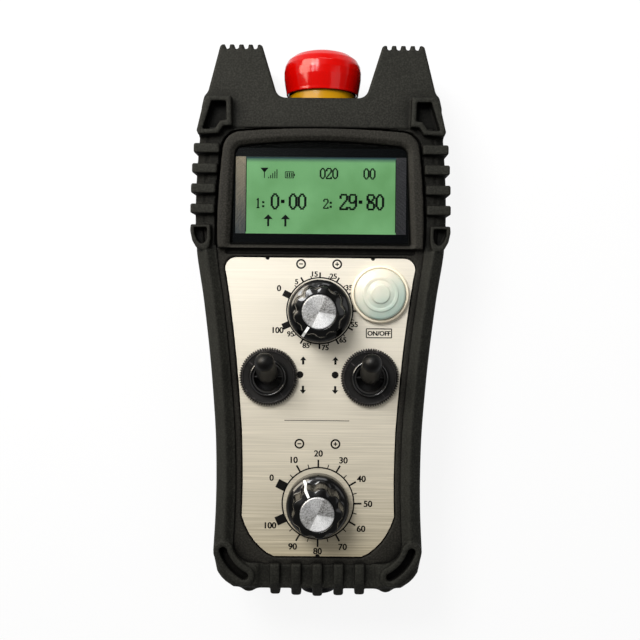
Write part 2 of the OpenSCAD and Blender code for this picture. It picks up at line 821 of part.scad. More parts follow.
module back_shell() {
    color("#2a2926") difference() {
        union() {
            difference() {
                plate_of(shell_outline, z_shell, z_split);
                plate_of(cavity_outline, z_inside, z_split + over);
            }
            for (p = screw_places) post(p.x, p.y, z_shell, boss_r, z_front_low - z_shell);
            difference() {
                centred_box(0, y_battery, z_shell, [battery_w + (tray_gap + tray_wall) * 2,
                    battery_len + (tray_gap + tray_wall) * 2, shell_wall + tray_h]);
                centred_box(0, y_battery, z_inside, [battery_w + tray_gap * 2,
                    battery_len + tray_gap * 2, tray_h + over]);
            }
        }
        for (p = screw_places) {
            post(p.x, p.y, z_shell - over, shell_screw_r + seat_gap, z_front_low + over * 2);
            post(p.x, p.y, z_shell - over, shell_head_r + seat_gap, shell_head_t + over);
        }
    }
}

module shell_seal() {
    seal_in = 0.4;
    color("#5a5a58") ring_of(boot_wall + seal_in, boot_wall + shell_wall - seal_in, z_split, z_front_low);
}

module shell_screws() {
    color("silver") for (p = screw_places) {
        post(p.x, p.y, z_shell, shell_head_r, shell_head_t);
        post(p.x, p.y, z_shell, shell_screw_r, z_front_low - z_shell + shell_screw_top);
    }
}

module face_plate() {
    notch_x = 19;
    color("#cbbfa2") difference() {
        plate_of(plate_outline, z_plate_low, z_plate);
        for (y = [y_dial_1, y_dial_2])
            post(0, y, z_plate_low - over, pot_bush_r + seat_gap, plate_t + over * 2);
        for (side = [-1, 1]) {
            post(side * toggle_x, y_toggle, z_plate_low - over, toggle_bush_r + seat_gap, plate_t + over * 2);
            post(side * notch_x, y_plate_top, z_plate_low - over, plate_t, plate_t + over * 2);
        }
        post(0, y_plate_low, z_plate_low - over, plate_t, plate_t + over * 2);
        post(power_x, y_power, z_plate_low - over, power_barrel_r + power_hole_gap, plate_t + over * 2);
    }
}

// The display

module screen_window() {
    color("#101214") plate_of(window_outline, z_window_low, z_window_low + window_t);
}

module lcd_frame() {
    color("#8f8a80") difference() {
        centred_box(0, y_lcd, z_light_low, [lcd_w, lcd_h, z_window_low - z_light_low]);
        centred_box(0, y_lcd, z_light_low - over, [lcd_w - lcd_wall * 2, lcd_h - lcd_wall * 2,
            z_glass_top - z_light_low + over]);
        centred_box(0, y_lcd, z_light_low, [view_w, view_h, z_window_low - z_light_low + over]);
    }
}

module lcd_glass() {
    color("#6faf7a") centred_box(0, y_lcd, z_glass_low, [lcd_w - lcd_wall * 2, lcd_h - lcd_wall * 2,
        lcd_glass_t]);
}

module lcd_backlight() {
    color("#e6e6dc") centred_box(0, y_lcd, z_light_low, [lcd_w - lcd_wall * 2, lcd_h - lcd_wall * 2,
        lcd_light_t]);
}

module display_board() {
    color("#1f5b38") difference() {
        centred_box(0, y_lcd, z_display, [display_board_w, display_board_h, display_board_t]);
        for (x = [-1, 1]) for (y = [-1, 1])
            post(x * display_hole_x, y_lcd + y * display_hole_y, z_display - over,
                display_screw_r + seat_gap, display_board_t + over * 2);
    }
}

module display_screws() {
    color("silver") for (x = [-1, 1]) for (y = [-1, 1]) {
        post(x * display_hole_x, y_lcd + y * display_hole_y, z_display, display_screw_r,
            display_board_t + display_bite);
        post(x * display_hole_x, y_lcd + y * display_hole_y, z_display - display_head_t,
            display_head_r, display_head_t);
    }
}

module display_ribbon() {
    color("#b98a3a") centred_box(0, y_ribbon, z_board_top, [ribbon_w, ribbon_t, z_display - z_board_top]);
}

// The main board and its load

module main_board() {
    color("#1f5b38") difference() {
        translate([-board_w / 2, y_board_low, z_board])
            cube([board_w, y_board_high - y_board_low, board_t]);
        for (side = [-1, 1]) for (y = board_boss_ys)
            post(side * board_boss_x, y, z_board - over, board_screw_r + seat_gap, board_t + over * 2);
    }
}

module board_screws() {
    color("silver") for (side = [-1, 1]) for (y = board_boss_ys) {
        post(side * board_boss_x, y, z_board, board_screw_r, board_t + board_screw_grip);
        post(side * board_boss_x, y, z_board - board_head_t, board_head_r, board_head_t);
    }
}

module radio_module() {
    color("#b9bcc0") centred_box(0, y_radio, z_board_top, [radio_w, radio_h, radio_t]);
}

module antenna() {
    color("#222222") translate([radio_w / 2, y_radio - antenna_drop, z_board_top + antenna_r])
        rotate([0, 90, 0]) cylinder(r = antenna_r, h = antenna_len);
}

module buzzer() {
    color("#161616") post(-buzzer_x, y_dial_2 + buzzer_up, z_board_top, buzzer_r, buzzer_h);
}

module battery_pack() {
    color("#3f6fa8") centred_box(0, y_battery, z_inside, [battery_w, battery_len, battery_t]);
}

module battery_foam() {
    color("#4a4a4a") centred_box(0, y_battery, z_battery_top, [foam_w, foam_len, z_board - z_battery_top]);
}

// Potentiometers and knobs

module pot_case(y) {
    color("#9aa0a6") difference() {
        union() {
            post(0, y, z_panel - pot_depth, pot_r, pot_depth);
            post(0, y, z_panel - over, pot_bush_r, z_plate + pot_bush_top - z_panel + over);
            for (i = [-1, 0, 1]) centred_box(i * pot_pin_pitch, y - pot_r + pot_pin_in, z_board_top,
                [pot_pin_w, pot_pin_t, z_panel - pot_depth - z_board_top + over]);
        }
        post(0, y, z_panel - pot_depth + shaft_foot - run_gap * 2, pot_shaft_r + run_gap, shell_depth);
    }
}

module pot_washers() {
    color("silver") for (y = [y_dial_1, y_dial_2]) difference() {
        post(0, y, z_plate, pot_washer_r, pot_washer_t);
        post(0, y, z_plate - over, pot_bush_r + seat_gap, pot_washer_t + over * 2);
    }
}

module pot_nuts() {
    color("silver") for (y = [y_dial_1, y_dial_2]) difference() {
        translate([0, y, z_plate + pot_washer_t]) cylinder(r = hex_r(pot_nut_af), h = pot_nut_t, $fn = 6);
        post(0, y, z_plate, pot_bush_r, pot_washer_t + pot_nut_t + over);
    }
}

module pot_shaft(y) {
    color("#c9ccd0") post(0, y, z_panel - pot_depth + shaft_foot, pot_shaft_r,
        z_plate + knob_h - cap_sink - z_panel + pot_depth - shaft_foot);
}

module knob(y) {
    color("#151515") translate([0, y, z_plate]) difference() {
        rotate_extrude() polygon([[0, knob_lift], [knob_r - skirt_chamfer, knob_lift],
            [knob_r, knob_edge_h], [knob_r, skirt_top_h - skirt_chamfer],
            [knob_r - skirt_chamfer, skirt_top_h], [grip_low_r, grip_low_h],
            [grip_top_r + skirt_chamfer, knob_h - skirt_chamfer * 2], [grip_top_r - skirt_chamfer, knob_h],
            [0, knob_h]]);
        for (i = [0 : flute_count - 1]) rotate(i * 360 / flute_count)
            translate([grip_low_r + flute_out, 0, skirt_top_h]) cylinder(r = flute_r, h = knob_h);
        translate([0, 0, knob_lift - over])
            cylinder(r = knob_r - knob_wall, h = knob_recess - knob_lift + over);
        cylinder(r = pot_shaft_r, h = knob_h + over);
        translate([0, 0, knob_h - cap_sink]) cylinder(r = knob_cap_r, h = cap_sink + over);
        translate([0, 0, knob_recess + screw_over]) rotate([0, 90, 0])
            cylinder(r = knob_screw_r, h = knob_r + over);
    }
}

module knob_cap(y) {
    color("#d6d6d6") post(0, y, z_plate + knob_h - cap_sink, knob_cap_r, cap_sink + cap_proud);
}

module knob_screw(y) {
    color("#3c3c3c") translate([pot_shaft_r, y, z_plate + knob_recess + screw_over])
        rotate([0, 90, 0]) cylinder(r = knob_screw_r, h = knob_screw_len);
}

// Toggle switches

module toggle_case(side) {
    color("#1c1c1c") difference() {
        union() {
            centred_box(side * toggle_x, y_toggle, z_panel - toggle_case_depth,
                [toggle_case_w, toggle_case_len, toggle_case_depth]);
            post(side * toggle_x, y_toggle, z_panel - over, toggle_bush_r,
                z_plate + toggle_bush_h - z_panel + over);
            for (i = [-1, 0, 1]) centred_box(side * toggle_x, y_toggle + i * tab_pitch, z_board_top,
                [tab_w, tab_t, z_panel - toggle_case_depth - z_board_top + over]);
        }
        post(side * toggle_x, y_toggle, z_panel + toggle_bore_foot, toggle_bore_r, shell_depth);
        translate([side * toggle_x - toggle_bush_r - over, y_toggle, z_plate + pivot_h]) rotate([0, 90, 0])
            cylinder(r = pin_r, h = (toggle_bush_r + over) * 2);
    }
}

module toggle_nut(side) {
    color("#141414") translate([side * toggle_x, y_toggle, z_plate]) difference() {
        union() {
            cylinder(r = toggle_nut_r, h = toggle_nut_t);
            cylinder(r = toggle_collar_r, h = toggle_collar_h);
        }
        translate([0, 0, -over]) cylinder(r = toggle_bush_r + run_gap, h = toggle_bush_h + over);
        cylinder(r = toggle_mouth_r, h = toggle_collar_h + over);
        translate([0, 0, toggle_nut_t - toggle_dish_t]) difference() {
            cylinder(r = toggle_dish_r, h = toggle_dish_t + over);
            cylinder(r = toggle_collar_r, h = toggle_dish_t + over);
        }
        for (i = [0 : knurl_count - 1]) rotate(i * 360 / knurl_count) translate([toggle_nut_r, 0, -over])
            cylinder(r = knurl_depth, h = toggle_nut_t + over * 2, $fn = 4);
    }
}

module toggle_pin(side) {
    color("silver") translate([side * toggle_x - toggle_bush_r, y_toggle, z_plate + pivot_h])
        rotate([0, 90, 0]) cylinder(r = pin_r, h = toggle_bush_r * 2);
}

module at_pivot(side) {
    translate([side * toggle_x, y_toggle, z_plate + pivot_h]) rotate([-lever_lean, 0, 0]) children();
}

module toggle_lever(side) {
    color("silver") at_pivot(side) difference() {
        union() {
            sphere(r = ball_r);
            cylinder(r = rod_r, h = lever_len - rod_short);
            translate([0, 0, -tail_len]) cylinder(r = tail_r, h = tail_len);
        }
        translate([-ball_r - over, 0, 0]) rotate([0, 90, 0])
            cylinder(r = pin_r + run_gap, h = (ball_r + over) * 2);
    }
}

module toggle_sleeve(side) {
    z_tip = lever_len - sleeve_tip_r;
    sleeve_foot_h = sleeve_foot + ball_r - rod_r / 2;
    color("#101112") at_pivot(side) rotate_extrude() polygon(concat(
        [[rod_r, sleeve_foot_h], [sleeve_r, sleeve_foot_h]],
        arc([0, z_tip], sleeve_tip_r, 0, 90, arc_steps * 2),
        [[0, lever_len - rod_short], [rod_r, lever_len - rod_short]]));
}

// Power button

module power_switch() {
    color("#202020") translate([power_x, y_power, 0]) difference() {
        union() {
            translate([0, 0, z_panel - power_case_low])
                cylinder(r = power_barrel_r, h = z_plate + power_barrel_h - z_panel + power_case_low);
            for (side = [-1, 1]) centred_box(side * power_pin_x - power_pin_x / 2, 0, z_board_top,
                [tab_t, tab_w, z_panel - power_case_low - z_board_top + over]);
        }
        translate([0, 0, z_panel - power_plunger_foot])
            cylinder(r = power_plunger_r + run_gap, h = shell_depth);
    }
}

module power_nut() {
    color("silver") difference() {
        translate([power_x, y_power, z_panel - power_nut_t])
            cylinder(r = hex_r(power_nut_af), h = power_nut_t, $fn = 6);
        post(power_x, y_power, z_panel - power_nut_t - over, power_barrel_r, power_nut_t + over * 2);
    }
}

module power_ring() {
    color("#cdbf9e") difference() {
        post(power_x, y_power, z_plate, power_ring_r, power_ring_h);
        post(power_x, y_power, z_plate - over, power_cap_r + power_ring_gap, power_ring_h + over * 2);
    }
}

module power_plunger() {
    color("#e0e0dc") post(power_x, y_power, z_panel - power_plunger_foot + power_travel + run_gap,
        power_plunger_r, z_plate + power_cap_h - power_cap_roof - z_panel + power_plunger_foot
        - power_travel - run_gap);
}

module power_cap() {
    color("#cfe6df") translate([power_x, y_power, z_plate]) rotate_extrude() polygon([
        [power_cap_r - power_cap_wall, power_skirt_up], [power_cap_r, power_skirt_up],
        [power_cap_r, power_edge_h], [power_step_r, power_step_h], [power_crown_r, power_cap_h],
        [0, power_cap_h], [0, power_cap_h - power_cap_roof],
        [power_crown_r, power_cap_h - power_cap_roof],
        [power_cap_r - power_cap_wall, power_edge_h]]);
}

// Stop button

module stop_collar() {
    color("#f0b400") along_y(y_stop, stop_z) difference() {
        cylinder(r = stop_collar_r, h = stop_collar_len);
        translate([0, 0, -over]) cylinder(r = stop_barrel_r + seat_gap, h = stop_collar_len + over * 2);
        translate([0, 0, stop_collar_len - stop_flange_t])
            cylinder(r = stop_flange_r, h = stop_flange_t + over);
    }
}

module stop_barrel() {
    barrel_len = stop_barrel_in + stop_collar_len;
    color("#1b1b1b") along_y(y_stop - stop_barrel_in, stop_z) difference() {
        union() {
            cylinder(r = stop_barrel_r, h = barrel_len);
            translate([0, 0, barrel_len - stop_flange_t]) cylinder(r = stop_flange_r, h = stop_flange_t);
        }
        translate([0, 0, -over]) cylinder(r = stop_stem_r + run_gap, h = barrel_len + over * 2);
        translate([0, 0, stop_barrel_in - stop_pot_low]) cylinder(r = stop_pot_r, h = barrel_len);
    }
}

module stop_nut() {
    color("silver") along_y(y_stop - shell_wall - stop_nut_t, stop_z) difference() {
        rotate(30) cylinder(r = hex_r(stop_nut_af), h = stop_nut_t, $fn = 6);
        translate([0, 0, -over]) cylinder(r = stop_barrel_r, h = stop_nut_t + over * 2);
    }
}

module stop_contact_block() {
    y_block = y_stop - stop_barrel_in;
    color("#d8d4c8") difference() {
        translate([-stop_block_w / 2, y_block - stop_block_len, stop_z - stop_block_w / 2])
            cube([stop_block_w, stop_block_len, stop_block_w]);
        along_y(y_block - stop_block_bore, stop_z)
            cylinder(r = stop_block_bore_r, h = stop_block_bore + over);
    }
}

module stop_stem() {
    stem_end = stop_collar_len + stop_rim_gap + stop_hollow + stop_hub_depth - stop_rim_gap;
    color("#d0d0d0") along_y(y_stop - stop_stem_in, stop_z) union() {
        cylinder(r = stop_stem_r, h = stop_stem_in + stem_end);
        translate([0, 0, stop_stem_in + stop_collar_len + stop_rim_gap + stop_hollow - stop_shoulder_t])
            cylinder(r = stop_shoulder_r, h = stop_shoulder_t);
    }
}

module stop_spring() {
    spring_low = spring_wire_r - stop_pot_low;
    spring_high = stop_collar_len + stop_rim_gap + stop_hollow - stop_shoulder_t - spring_wire_r;
    rings = spring_turns * spring_steps;
    rise = (spring_high - spring_low) / rings;
    points = [for (i = [0 : rings]) for (k = [0 : spring_sides - 1])
        let (turn = i * 360 / spring_steps, side = k * 360 / spring_sides,
            r = spring_r + spring_wire_r * cos(side))
        [r * cos(turn), r * sin(turn), spring_low + i * rise + spring_wire_r * sin(side)]];
    walls = [for (i = [0 : rings - 1]) for (k = [0 : spring_sides - 1])
        let (a = i * spring_sides + k, b = i * spring_sides + (k + 1) % spring_sides)
        for (t = [0, 1]) t == 0 ? [a, b, b + spring_sides] : [a, b + spring_sides, a + spring_sides]];
    first = [for (k = [1 : spring_sides - 2]) [0, k + 1, k]];
    base = rings * spring_sides;
    last = [for (k = [1 : spring_sides - 2]) [base, base + k, base + k + 1]];
    color("silver") along_y(y_stop, stop_z) polyhedron(points, concat(walls, first, last));
}

module stop_head() {
    rim = stop_collar_len + stop_rim_gap;
    hollow_r = stop_rim_r - stop_skirt_wall;
    color("#d40f0f") along_y(y_stop + rim, stop_z) difference() {
        rotate_extrude() polygon(concat([[0, 0], [stop_rim_r, 0], [stop_rim_r, stop_crease],
            [stop_rim_r + stop_skirt_wall / 2, stop_crease * 2]],
            [for (s = stop_dome_shares) [s.x * stop_head_r, s.y * stop_head_len]],
            [[0, stop_head_len]]));
        translate([0, 0, -over]) cylinder(r = hollow_r, h = stop_hollow + over);
        translate([0, 0, -over]) cylinder(r = stop_stem_r + run_gap, h = stop_hollow + stop_hub_depth + over);
    }
}

// Charge socket and its dust plug

module charge_socket() {
    color("#8d9096") along_y(y_charge, charge_z) difference() {
        union() {
            translate([0, 0, -socket_flange_t]) cylinder(r = socket_flange_r, h = socket_flange_t);
            translate([0, 0, -socket_flange_t]) cylinder(r = socket_r, h = socket_flange_t + socket_len);
        }
        translate([0, 0, -socket_flange_t - over]) cylinder(r = socket_bore_r, h = socket_bore_len + over);
    }
}

module charge_nut() {
    color("silver") along_y(y_charge + shell_wall, charge_z) difference() {
        rotate(30) cylinder(r = hex_r(charge_nut_af), h = charge_nut_t, $fn = 6);
        translate([0, 0, -over]) cylinder(r = socket_r, h = charge_nut_t + over * 2);
    }
}

module charge_plug() {
    cap_len = plug_reach + boot_wall - socket_flange_t;
    color("#14171c") along_y(y_charge - socket_flange_t - cap_len, charge_z) union() {
        rotate_extrude() polygon(concat([[0, 0]],
            arc([plug_r - plug_fillet, plug_fillet], plug_fillet, -90, 0, arc_steps),
            [[plug_r, cap_len], [0, cap_len]]));
        cylinder(r = socket_bore_r - run_gap, h = cap_len + plug_stud_len);
    }
}

rubber_boot();
front_shell();
back_shell();
shell_seal();
shell_screws();
face_plate();
screen_window();
lcd_frame();
lcd_glass();
lcd_backlight();
display_board();
display_screws();
display_ribbon();
main_board();
board_screws();
radio_module();
antenna();
buzzer();
battery_pack();
battery_foam();
pot_case(y_dial_1);  // pot_case_1
pot_case(y_dial_2);  // pot_case_2
pot_washers();
pot_nuts();
pot_shaft(y_dial_1);  // pot_shaft_1
knob(y_dial_1);  // knob_1
knob_cap(y_dial_1);  // knob_cap_1
knob_screw(y_dial_1);  // knob_screw_1
pot_shaft(y_dial_2);  // pot_shaft_2
knob(y_dial_2);  // knob_2
knob_cap(y_dial_2);  // knob_cap_2
knob_screw(y_dial_2);  // knob_screw_2
toggle_case(-1);  // toggle_case_a
toggle_nut(-1);  // toggle_nut_a
toggle_pin(-1);  // toggle_pin_a
toggle_lever(-1);  // toggle_lever_a
toggle_sleeve(-1);  // toggle_sleeve_a
toggle_case(1);  // toggle_case_b
toggle_nut(1);  // toggle_nut_b
toggle_pin(1);  // toggle_pin_b
toggle_lever(1);  // toggle_lever_b
toggle_sleeve(1);  // toggle_sleeve_b
power_switch();
power_nut();
power_ring();
power_plunger();
power_cap();
stop_collar();
stop_barrel();
stop_nut();
stop_contact_block();
stop_spring();
stop_stem();
stop_head();
charge_socket();
charge_nut();
charge_plug();
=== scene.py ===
"""Looks of a hand-held crane radio remote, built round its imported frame."""
import json
import logging
import math
from dataclasses import dataclass
from enum import Enum
from typing import Callable, Iterable, Sequence

import bmesh
import bpy
import numpy as np
from mathutils import Matrix, Vector

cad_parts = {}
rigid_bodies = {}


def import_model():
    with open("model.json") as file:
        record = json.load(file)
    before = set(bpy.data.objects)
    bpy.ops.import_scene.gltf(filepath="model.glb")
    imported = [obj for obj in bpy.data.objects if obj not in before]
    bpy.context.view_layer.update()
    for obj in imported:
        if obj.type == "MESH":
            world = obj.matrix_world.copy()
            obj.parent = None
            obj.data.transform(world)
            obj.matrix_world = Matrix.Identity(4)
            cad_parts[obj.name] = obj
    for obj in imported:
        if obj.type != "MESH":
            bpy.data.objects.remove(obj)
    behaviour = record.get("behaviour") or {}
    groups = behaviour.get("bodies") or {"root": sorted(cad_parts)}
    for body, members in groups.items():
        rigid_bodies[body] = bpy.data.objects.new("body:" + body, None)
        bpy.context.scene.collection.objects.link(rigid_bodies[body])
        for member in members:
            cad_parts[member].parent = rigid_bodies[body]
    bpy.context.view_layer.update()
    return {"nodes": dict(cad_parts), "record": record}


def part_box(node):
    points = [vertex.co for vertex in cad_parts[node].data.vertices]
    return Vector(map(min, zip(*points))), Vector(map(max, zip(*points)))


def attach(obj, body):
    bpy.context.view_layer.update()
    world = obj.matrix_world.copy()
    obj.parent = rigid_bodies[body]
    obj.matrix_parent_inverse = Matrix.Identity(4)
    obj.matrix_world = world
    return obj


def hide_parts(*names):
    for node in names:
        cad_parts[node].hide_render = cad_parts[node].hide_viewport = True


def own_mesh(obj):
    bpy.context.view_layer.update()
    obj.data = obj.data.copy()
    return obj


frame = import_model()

LOG = logging.getLogger("remote")
MM = 0.001
Point = tuple[float, float]
Place = tuple[float, float, float]
Colour = tuple[float, float, float, float]
Line = tuple[Point, ...]
Array = np.ndarray
Socket = bpy.types.NodeSocket
NOISE_SPAN = (0.3, 0.7)
FULL = (0.0, 1.0)
WHITE = (1.0, 1.0, 1.0, 1.0)
SIDES = (-1, 1)


class Body(str, Enum):
    """The frame's moving bodies."""

    UNIT = "unit"
    LOWER_KNOB = "lower_knob"
    UPPER_KNOB = "upper_knob"
    LEFT_TOGGLE = "left_toggle"
    RIGHT_TOGGLE = "right_toggle"
    POWER = "power_button"
    STOP = "stop_mushroom"
    PLUG = "dust_plug"


# Colours and finishes


def linear(code: str, share: float = 1.0) -> Colour:
    """Turn a hex colour into linear light.

    Args:
        code: The colour as it looks on a screen, such as "33322c".
        share: How much paler or darker it is made.

    Returns:
        Red, green and blue from 0 to 1, and full alpha.
    """
    values = [int(code[i:i + 2], 16) / 255 for i in (0, 2, 4)]
    flat = [v / 12.92 if v <= 0.04045 else ((v + 0.055) / 1.055) ** 2.4 for v in values]
    red, green, blue = (min(1.0, v * share) for v in flat)
    return (red, green, blue, 1.0)


class Nodes:
    """Shader nodes in one tree, with short calls that add and join them."""

    def __init__(self, tree: bpy.types.NodeTree, space: str) -> None:
        """Take a tree and the coordinates that its patterns lie in."""
        self.tree = tree
        self.place = self.node("TexCoord").outputs[space]

    def node(self, kind: str, inputs: dict[str | int, object] | None = None,
             **settings: object) -> bpy.types.Node:
        """Add a node.

        Args:
            kind: The node's type, without "ShaderNode".
            inputs: Values or output sockets for its inputs, by name or number.
            **settings: Its other properties.

        Returns:
            The new node.
        """
        made = self.tree.nodes.new("ShaderNode" + kind)
        for key, value in settings.items():
            setattr(made, key, value)
        self.feed(made, inputs or {})
        return made

    def feed(self, node: bpy.types.Node, inputs: dict[str | int, object]) -> None:
        """Set a node's inputs, or link outputs to them."""
        for key, value in inputs.items():
            if isinstance(value, Socket):
                self.tree.links.new(value, node.inputs[key])
            else:
                node.inputs[key].default_value = value

    def noise(self, size_mm: float, detail: float = 3.0, stretch: Place = (1.0, 1.0, 1.0)) -> Socket:
        """Add a noise pattern in real size.

        Args:
            size_mm: The size of a grain, in millimetres.
            detail: How many finer layers it has.
            stretch: How much finer it is along each axis.

        Returns:
            The pattern, most of it within NOISE_SPAN.
        """
        scaled = self.node("Mapping", {"Vector": self.place, "Scale": stretch})
        return self.node("TexNoise", {"Vector": scaled.outputs[0], "Scale": 1 / (size_mm * MM),
                                      "Detail": detail}).outputs[0]

    def spread(self, value: Socket, source: Point = FULL, target: Point = FULL) -> Socket:
        """Map a value from one range to another, clamped, and return it."""
        return self.node("MapRange", {"Value": value, "From Min": source[0], "From Max": source[1],
                                      "To Min": target[0], "To Max": target[1]}).outputs[0]

    def swing(self, noise: Socket, low: float, high: float) -> Socket:
        """Map a noise pattern to a range and return it."""
        return self.spread(noise, NOISE_SPAN, (low, high))

    def axis(self, number: int) -> Socket:
        """Return one of the three coordinates of a place."""
        return self.node("SeparateXYZ", {0: self.place}).outputs[number]

    def along(self, low_mm: float, high_mm: float) -> Socket:
        """Return how far a place lies between two places along the unit."""
        return self.spread(self.axis(1), (low_mm * MM, high_mm * MM))

    def blend(self, share: Socket | float, low: object, high: object, way: str = "MIX") -> Socket:
        """Mix two colours by a share from 0 to 1 and return the result."""
        return self.node("Mix", {"Factor": share, 6: low, 7: high}, data_type="RGBA",
                         blend_type=way).outputs[2]

    def scaled(self, colour: Socket, share: Socket | float) -> Socket:
        """Return a colour multiplied by a share."""
        return self.node("VectorMath", {0: colour, "Scale": share}, operation="SCALE").outputs[0]

    def math(self, operation: str, first: object, second: object = 0.0) -> Socket:
        """Add a sum of one or two values and return its result."""
        return self.node("Math", {0: first, 1: second}, operation=operation).outputs[0]

    def times(self, first: object, second: object) -> Socket:
        """Multiply two values and return the result."""
        return self.math("MULTIPLY", first, second)

    def bump(self, height: Socket, depth_mm: float) -> Socket:
        """Return the normal bent by a relief of a given depth, in millimetres."""
        return self.node("Bump", {"Height": height, "Distance": depth_mm * MM, "Strength": 1.0}).outputs[0]

    def rays(self) -> tuple[Socket, Socket]:
        """Return 1 for what the camera sees, and 1 for what metal and glass show of it."""
        path = self.node("LightPath").outputs
        return path["Is Camera Ray"], self.math("MAXIMUM", path["Is Glossy Ray"], path["Is Transmission Ray"])


class Graph(Nodes):
    """A material's nodes, round one principled shader."""

    def __init__(self, name: str) -> None:
        """Start the material."""
        self.material = bpy.data.materials.new(name)
        self.material.use_nodes = True
        self.material.node_tree.nodes.clear()
        super().__init__(self.material.node_tree, "Object")
        self.shader = self.node("BsdfPrincipled")
        self.output = self.node("OutputMaterial", {"Surface": self.shader.outputs[0]})

    def set(self, **sockets: object) -> bpy.types.Material:
        """Set or feed sockets of the principled shader, underscores for spaces, and return the material."""
        self.feed(self.shader, {key.replace("_", " "): value for key, value in sockets.items()})
        return self.material

    def mix_shaders(self, share: Socket, low: bpy.types.Node, high: bpy.types.Node) -> None:
        """Mix two shaders by a share and lead them to the output."""
        mixed = self.node("MixShader", {0: share, 1: low.outputs[0], 2: high.outputs[0]})
        self.feed(self.output, {"Surface": mixed.outputs[0]})


@dataclass(frozen=True)
class Moulded:
    """A moulded or cast surface with a fine grain, faint mottling and flecks, paler edges for rubbing and for painted
    glints, painted light on open faces that look up and to the left, and painted shade in recesses.
    """

    name: str
    colour: str
    roughness: float = 0.6
    swing: float = 0.05
    grain_mm: float = 0.3
    depth_mm: float = 0.006
    mottle: float = 0.15
    wear: float = 0.0
    worn: float = 2.2
    specular: float = 0.5
    coat: float = 0.0
    fleck: float = 0.0
    fleck_tone: float = 4.5
    dust: float = 0.0
    hollow: float = 0.0
    hollow_mm: float = 7.0

    def material(self) -> bpy.types.Material:
        """Build the material."""
        graph = Graph(self.name)
        cloud, fine = graph.noise(self.grain_mm * 30, 4.0), graph.noise(self.grain_mm, 2.0)
        colour = graph.blend(graph.swing(cloud, 0.0, 1.0), linear(self.colour, 1 - self.mottle),
                             linear(self.colour, 1 + self.mottle))
        geometry = graph.node("NewGeometry").outputs
        # How open each place is, from ambient occlusion; it sets the painted shade and keeps the painted light to
        # open faces.
        if self.hollow > 0:
            openness = graph.node("AmbientOcclusion", {"Distance": self.hollow_mm * MM},
                                  samples=6).outputs["AO"]
        # Painted light: open faces that look up and toward the upper left are made paler, as if the light falls on
        # them.
        if self.dust > 0:
            facing = graph.node("SeparateXYZ", {0: geometry["Normal"]}).outputs
            level = graph.math("SUBTRACT", graph.times(facing[2], 0.6), graph.times(facing[0], 0.7))
            share = graph.times(graph.spread(level, (0.5, 0.9)), graph.spread(openness, (0.75, 0.96)))
            colour = graph.blend(share, colour, graph.scaled(colour, 1 + self.dust))
        if self.fleck > 0:
            spots = graph.spread(graph.noise(self.grain_mm * 2, 1.0), (0.4, 0.72), (0.0, self.fleck))
            colour = graph.blend(spots, colour, linear(self.colour, self.fleck_tone))
        # Convex edges are made paler: rubbing on the boot and housing, a painted glint on the nut's teeth.
        if self.wear > 0:
            edges = graph.spread(geometry["Pointiness"], (0.51, 0.6), (0.0, self.wear))
            colour = graph.blend(edges, colour, linear(self.colour, self.worn))
        # Painted shade: the colour is darkened where the place is enclosed, as shade falls in recesses and between
        # parts.
        if self.hollow > 0:
            colour = graph.scaled(colour, graph.spread(openness, (0.46, 0.96), (1 - self.hollow, 1.0)))
        return graph.set(Base_Color=colour, Specular_IOR_Level=self.specular,
                         Roughness=graph.swing(fine, self.roughness - self.swing, self.roughness + self.swing),
                         Coat_Weight=self.coat, Coat_Roughness=0.06, Normal=graph.bump(fine, self.depth_mm))


@dataclass(frozen=True)
class BrushedPlate:
    """Warm anodised sheet, brushed across, with painted light that makes it paler at its upper end."""

    name: str = "brushed_plate"
    # The plate grows paler from the lower colour to the upper one with painted light.
    upper: str = "d9d3c5"
    lower: str = "b9ac8d"
    y_low: float = -84.0
    y_high: float = 24.0
    fade: float = 0.42
    stretch: Place = (0.008, 1.0, 1.0)

    def material(self) -> bpy.types.Material:
        """Build the material."""
        graph = Graph(self.name)
        along = graph.along(self.y_low, self.y_high)
        # Painted light: the colour runs from the lower one to the paler upper one along the plate.
        ground = graph.blend(graph.math("POWER", along, self.fade), linear(self.lower), linear(self.upper))
        fine, long = graph.noise(0.17, 2.0, self.stretch), graph.noise(0.32, 3.0, self.stretch)
        streak = graph.times(graph.spread(fine, (0.36, 0.64), (0.5, 1.0)),
                             graph.spread(long, (0.38, 0.6), (0.55, 1.0)))
        grey = graph.node("CombineColor", {0: streak, 1: streak, 2: streak}).outputs[0]
        tone = graph.blend(graph.spread(along, (0.0, 0.7), (0.58, 0.14)), WHITE, grey)
        return graph.set(Base_Color=graph.blend(1.0, ground, tone, "MULTIPLY"), Metallic=0.2,
                         Specular_IOR_Level=0.35, Roughness=graph.swing(fine, 0.36, 0.52),
                         Normal=graph.bump(fine, 0.008))


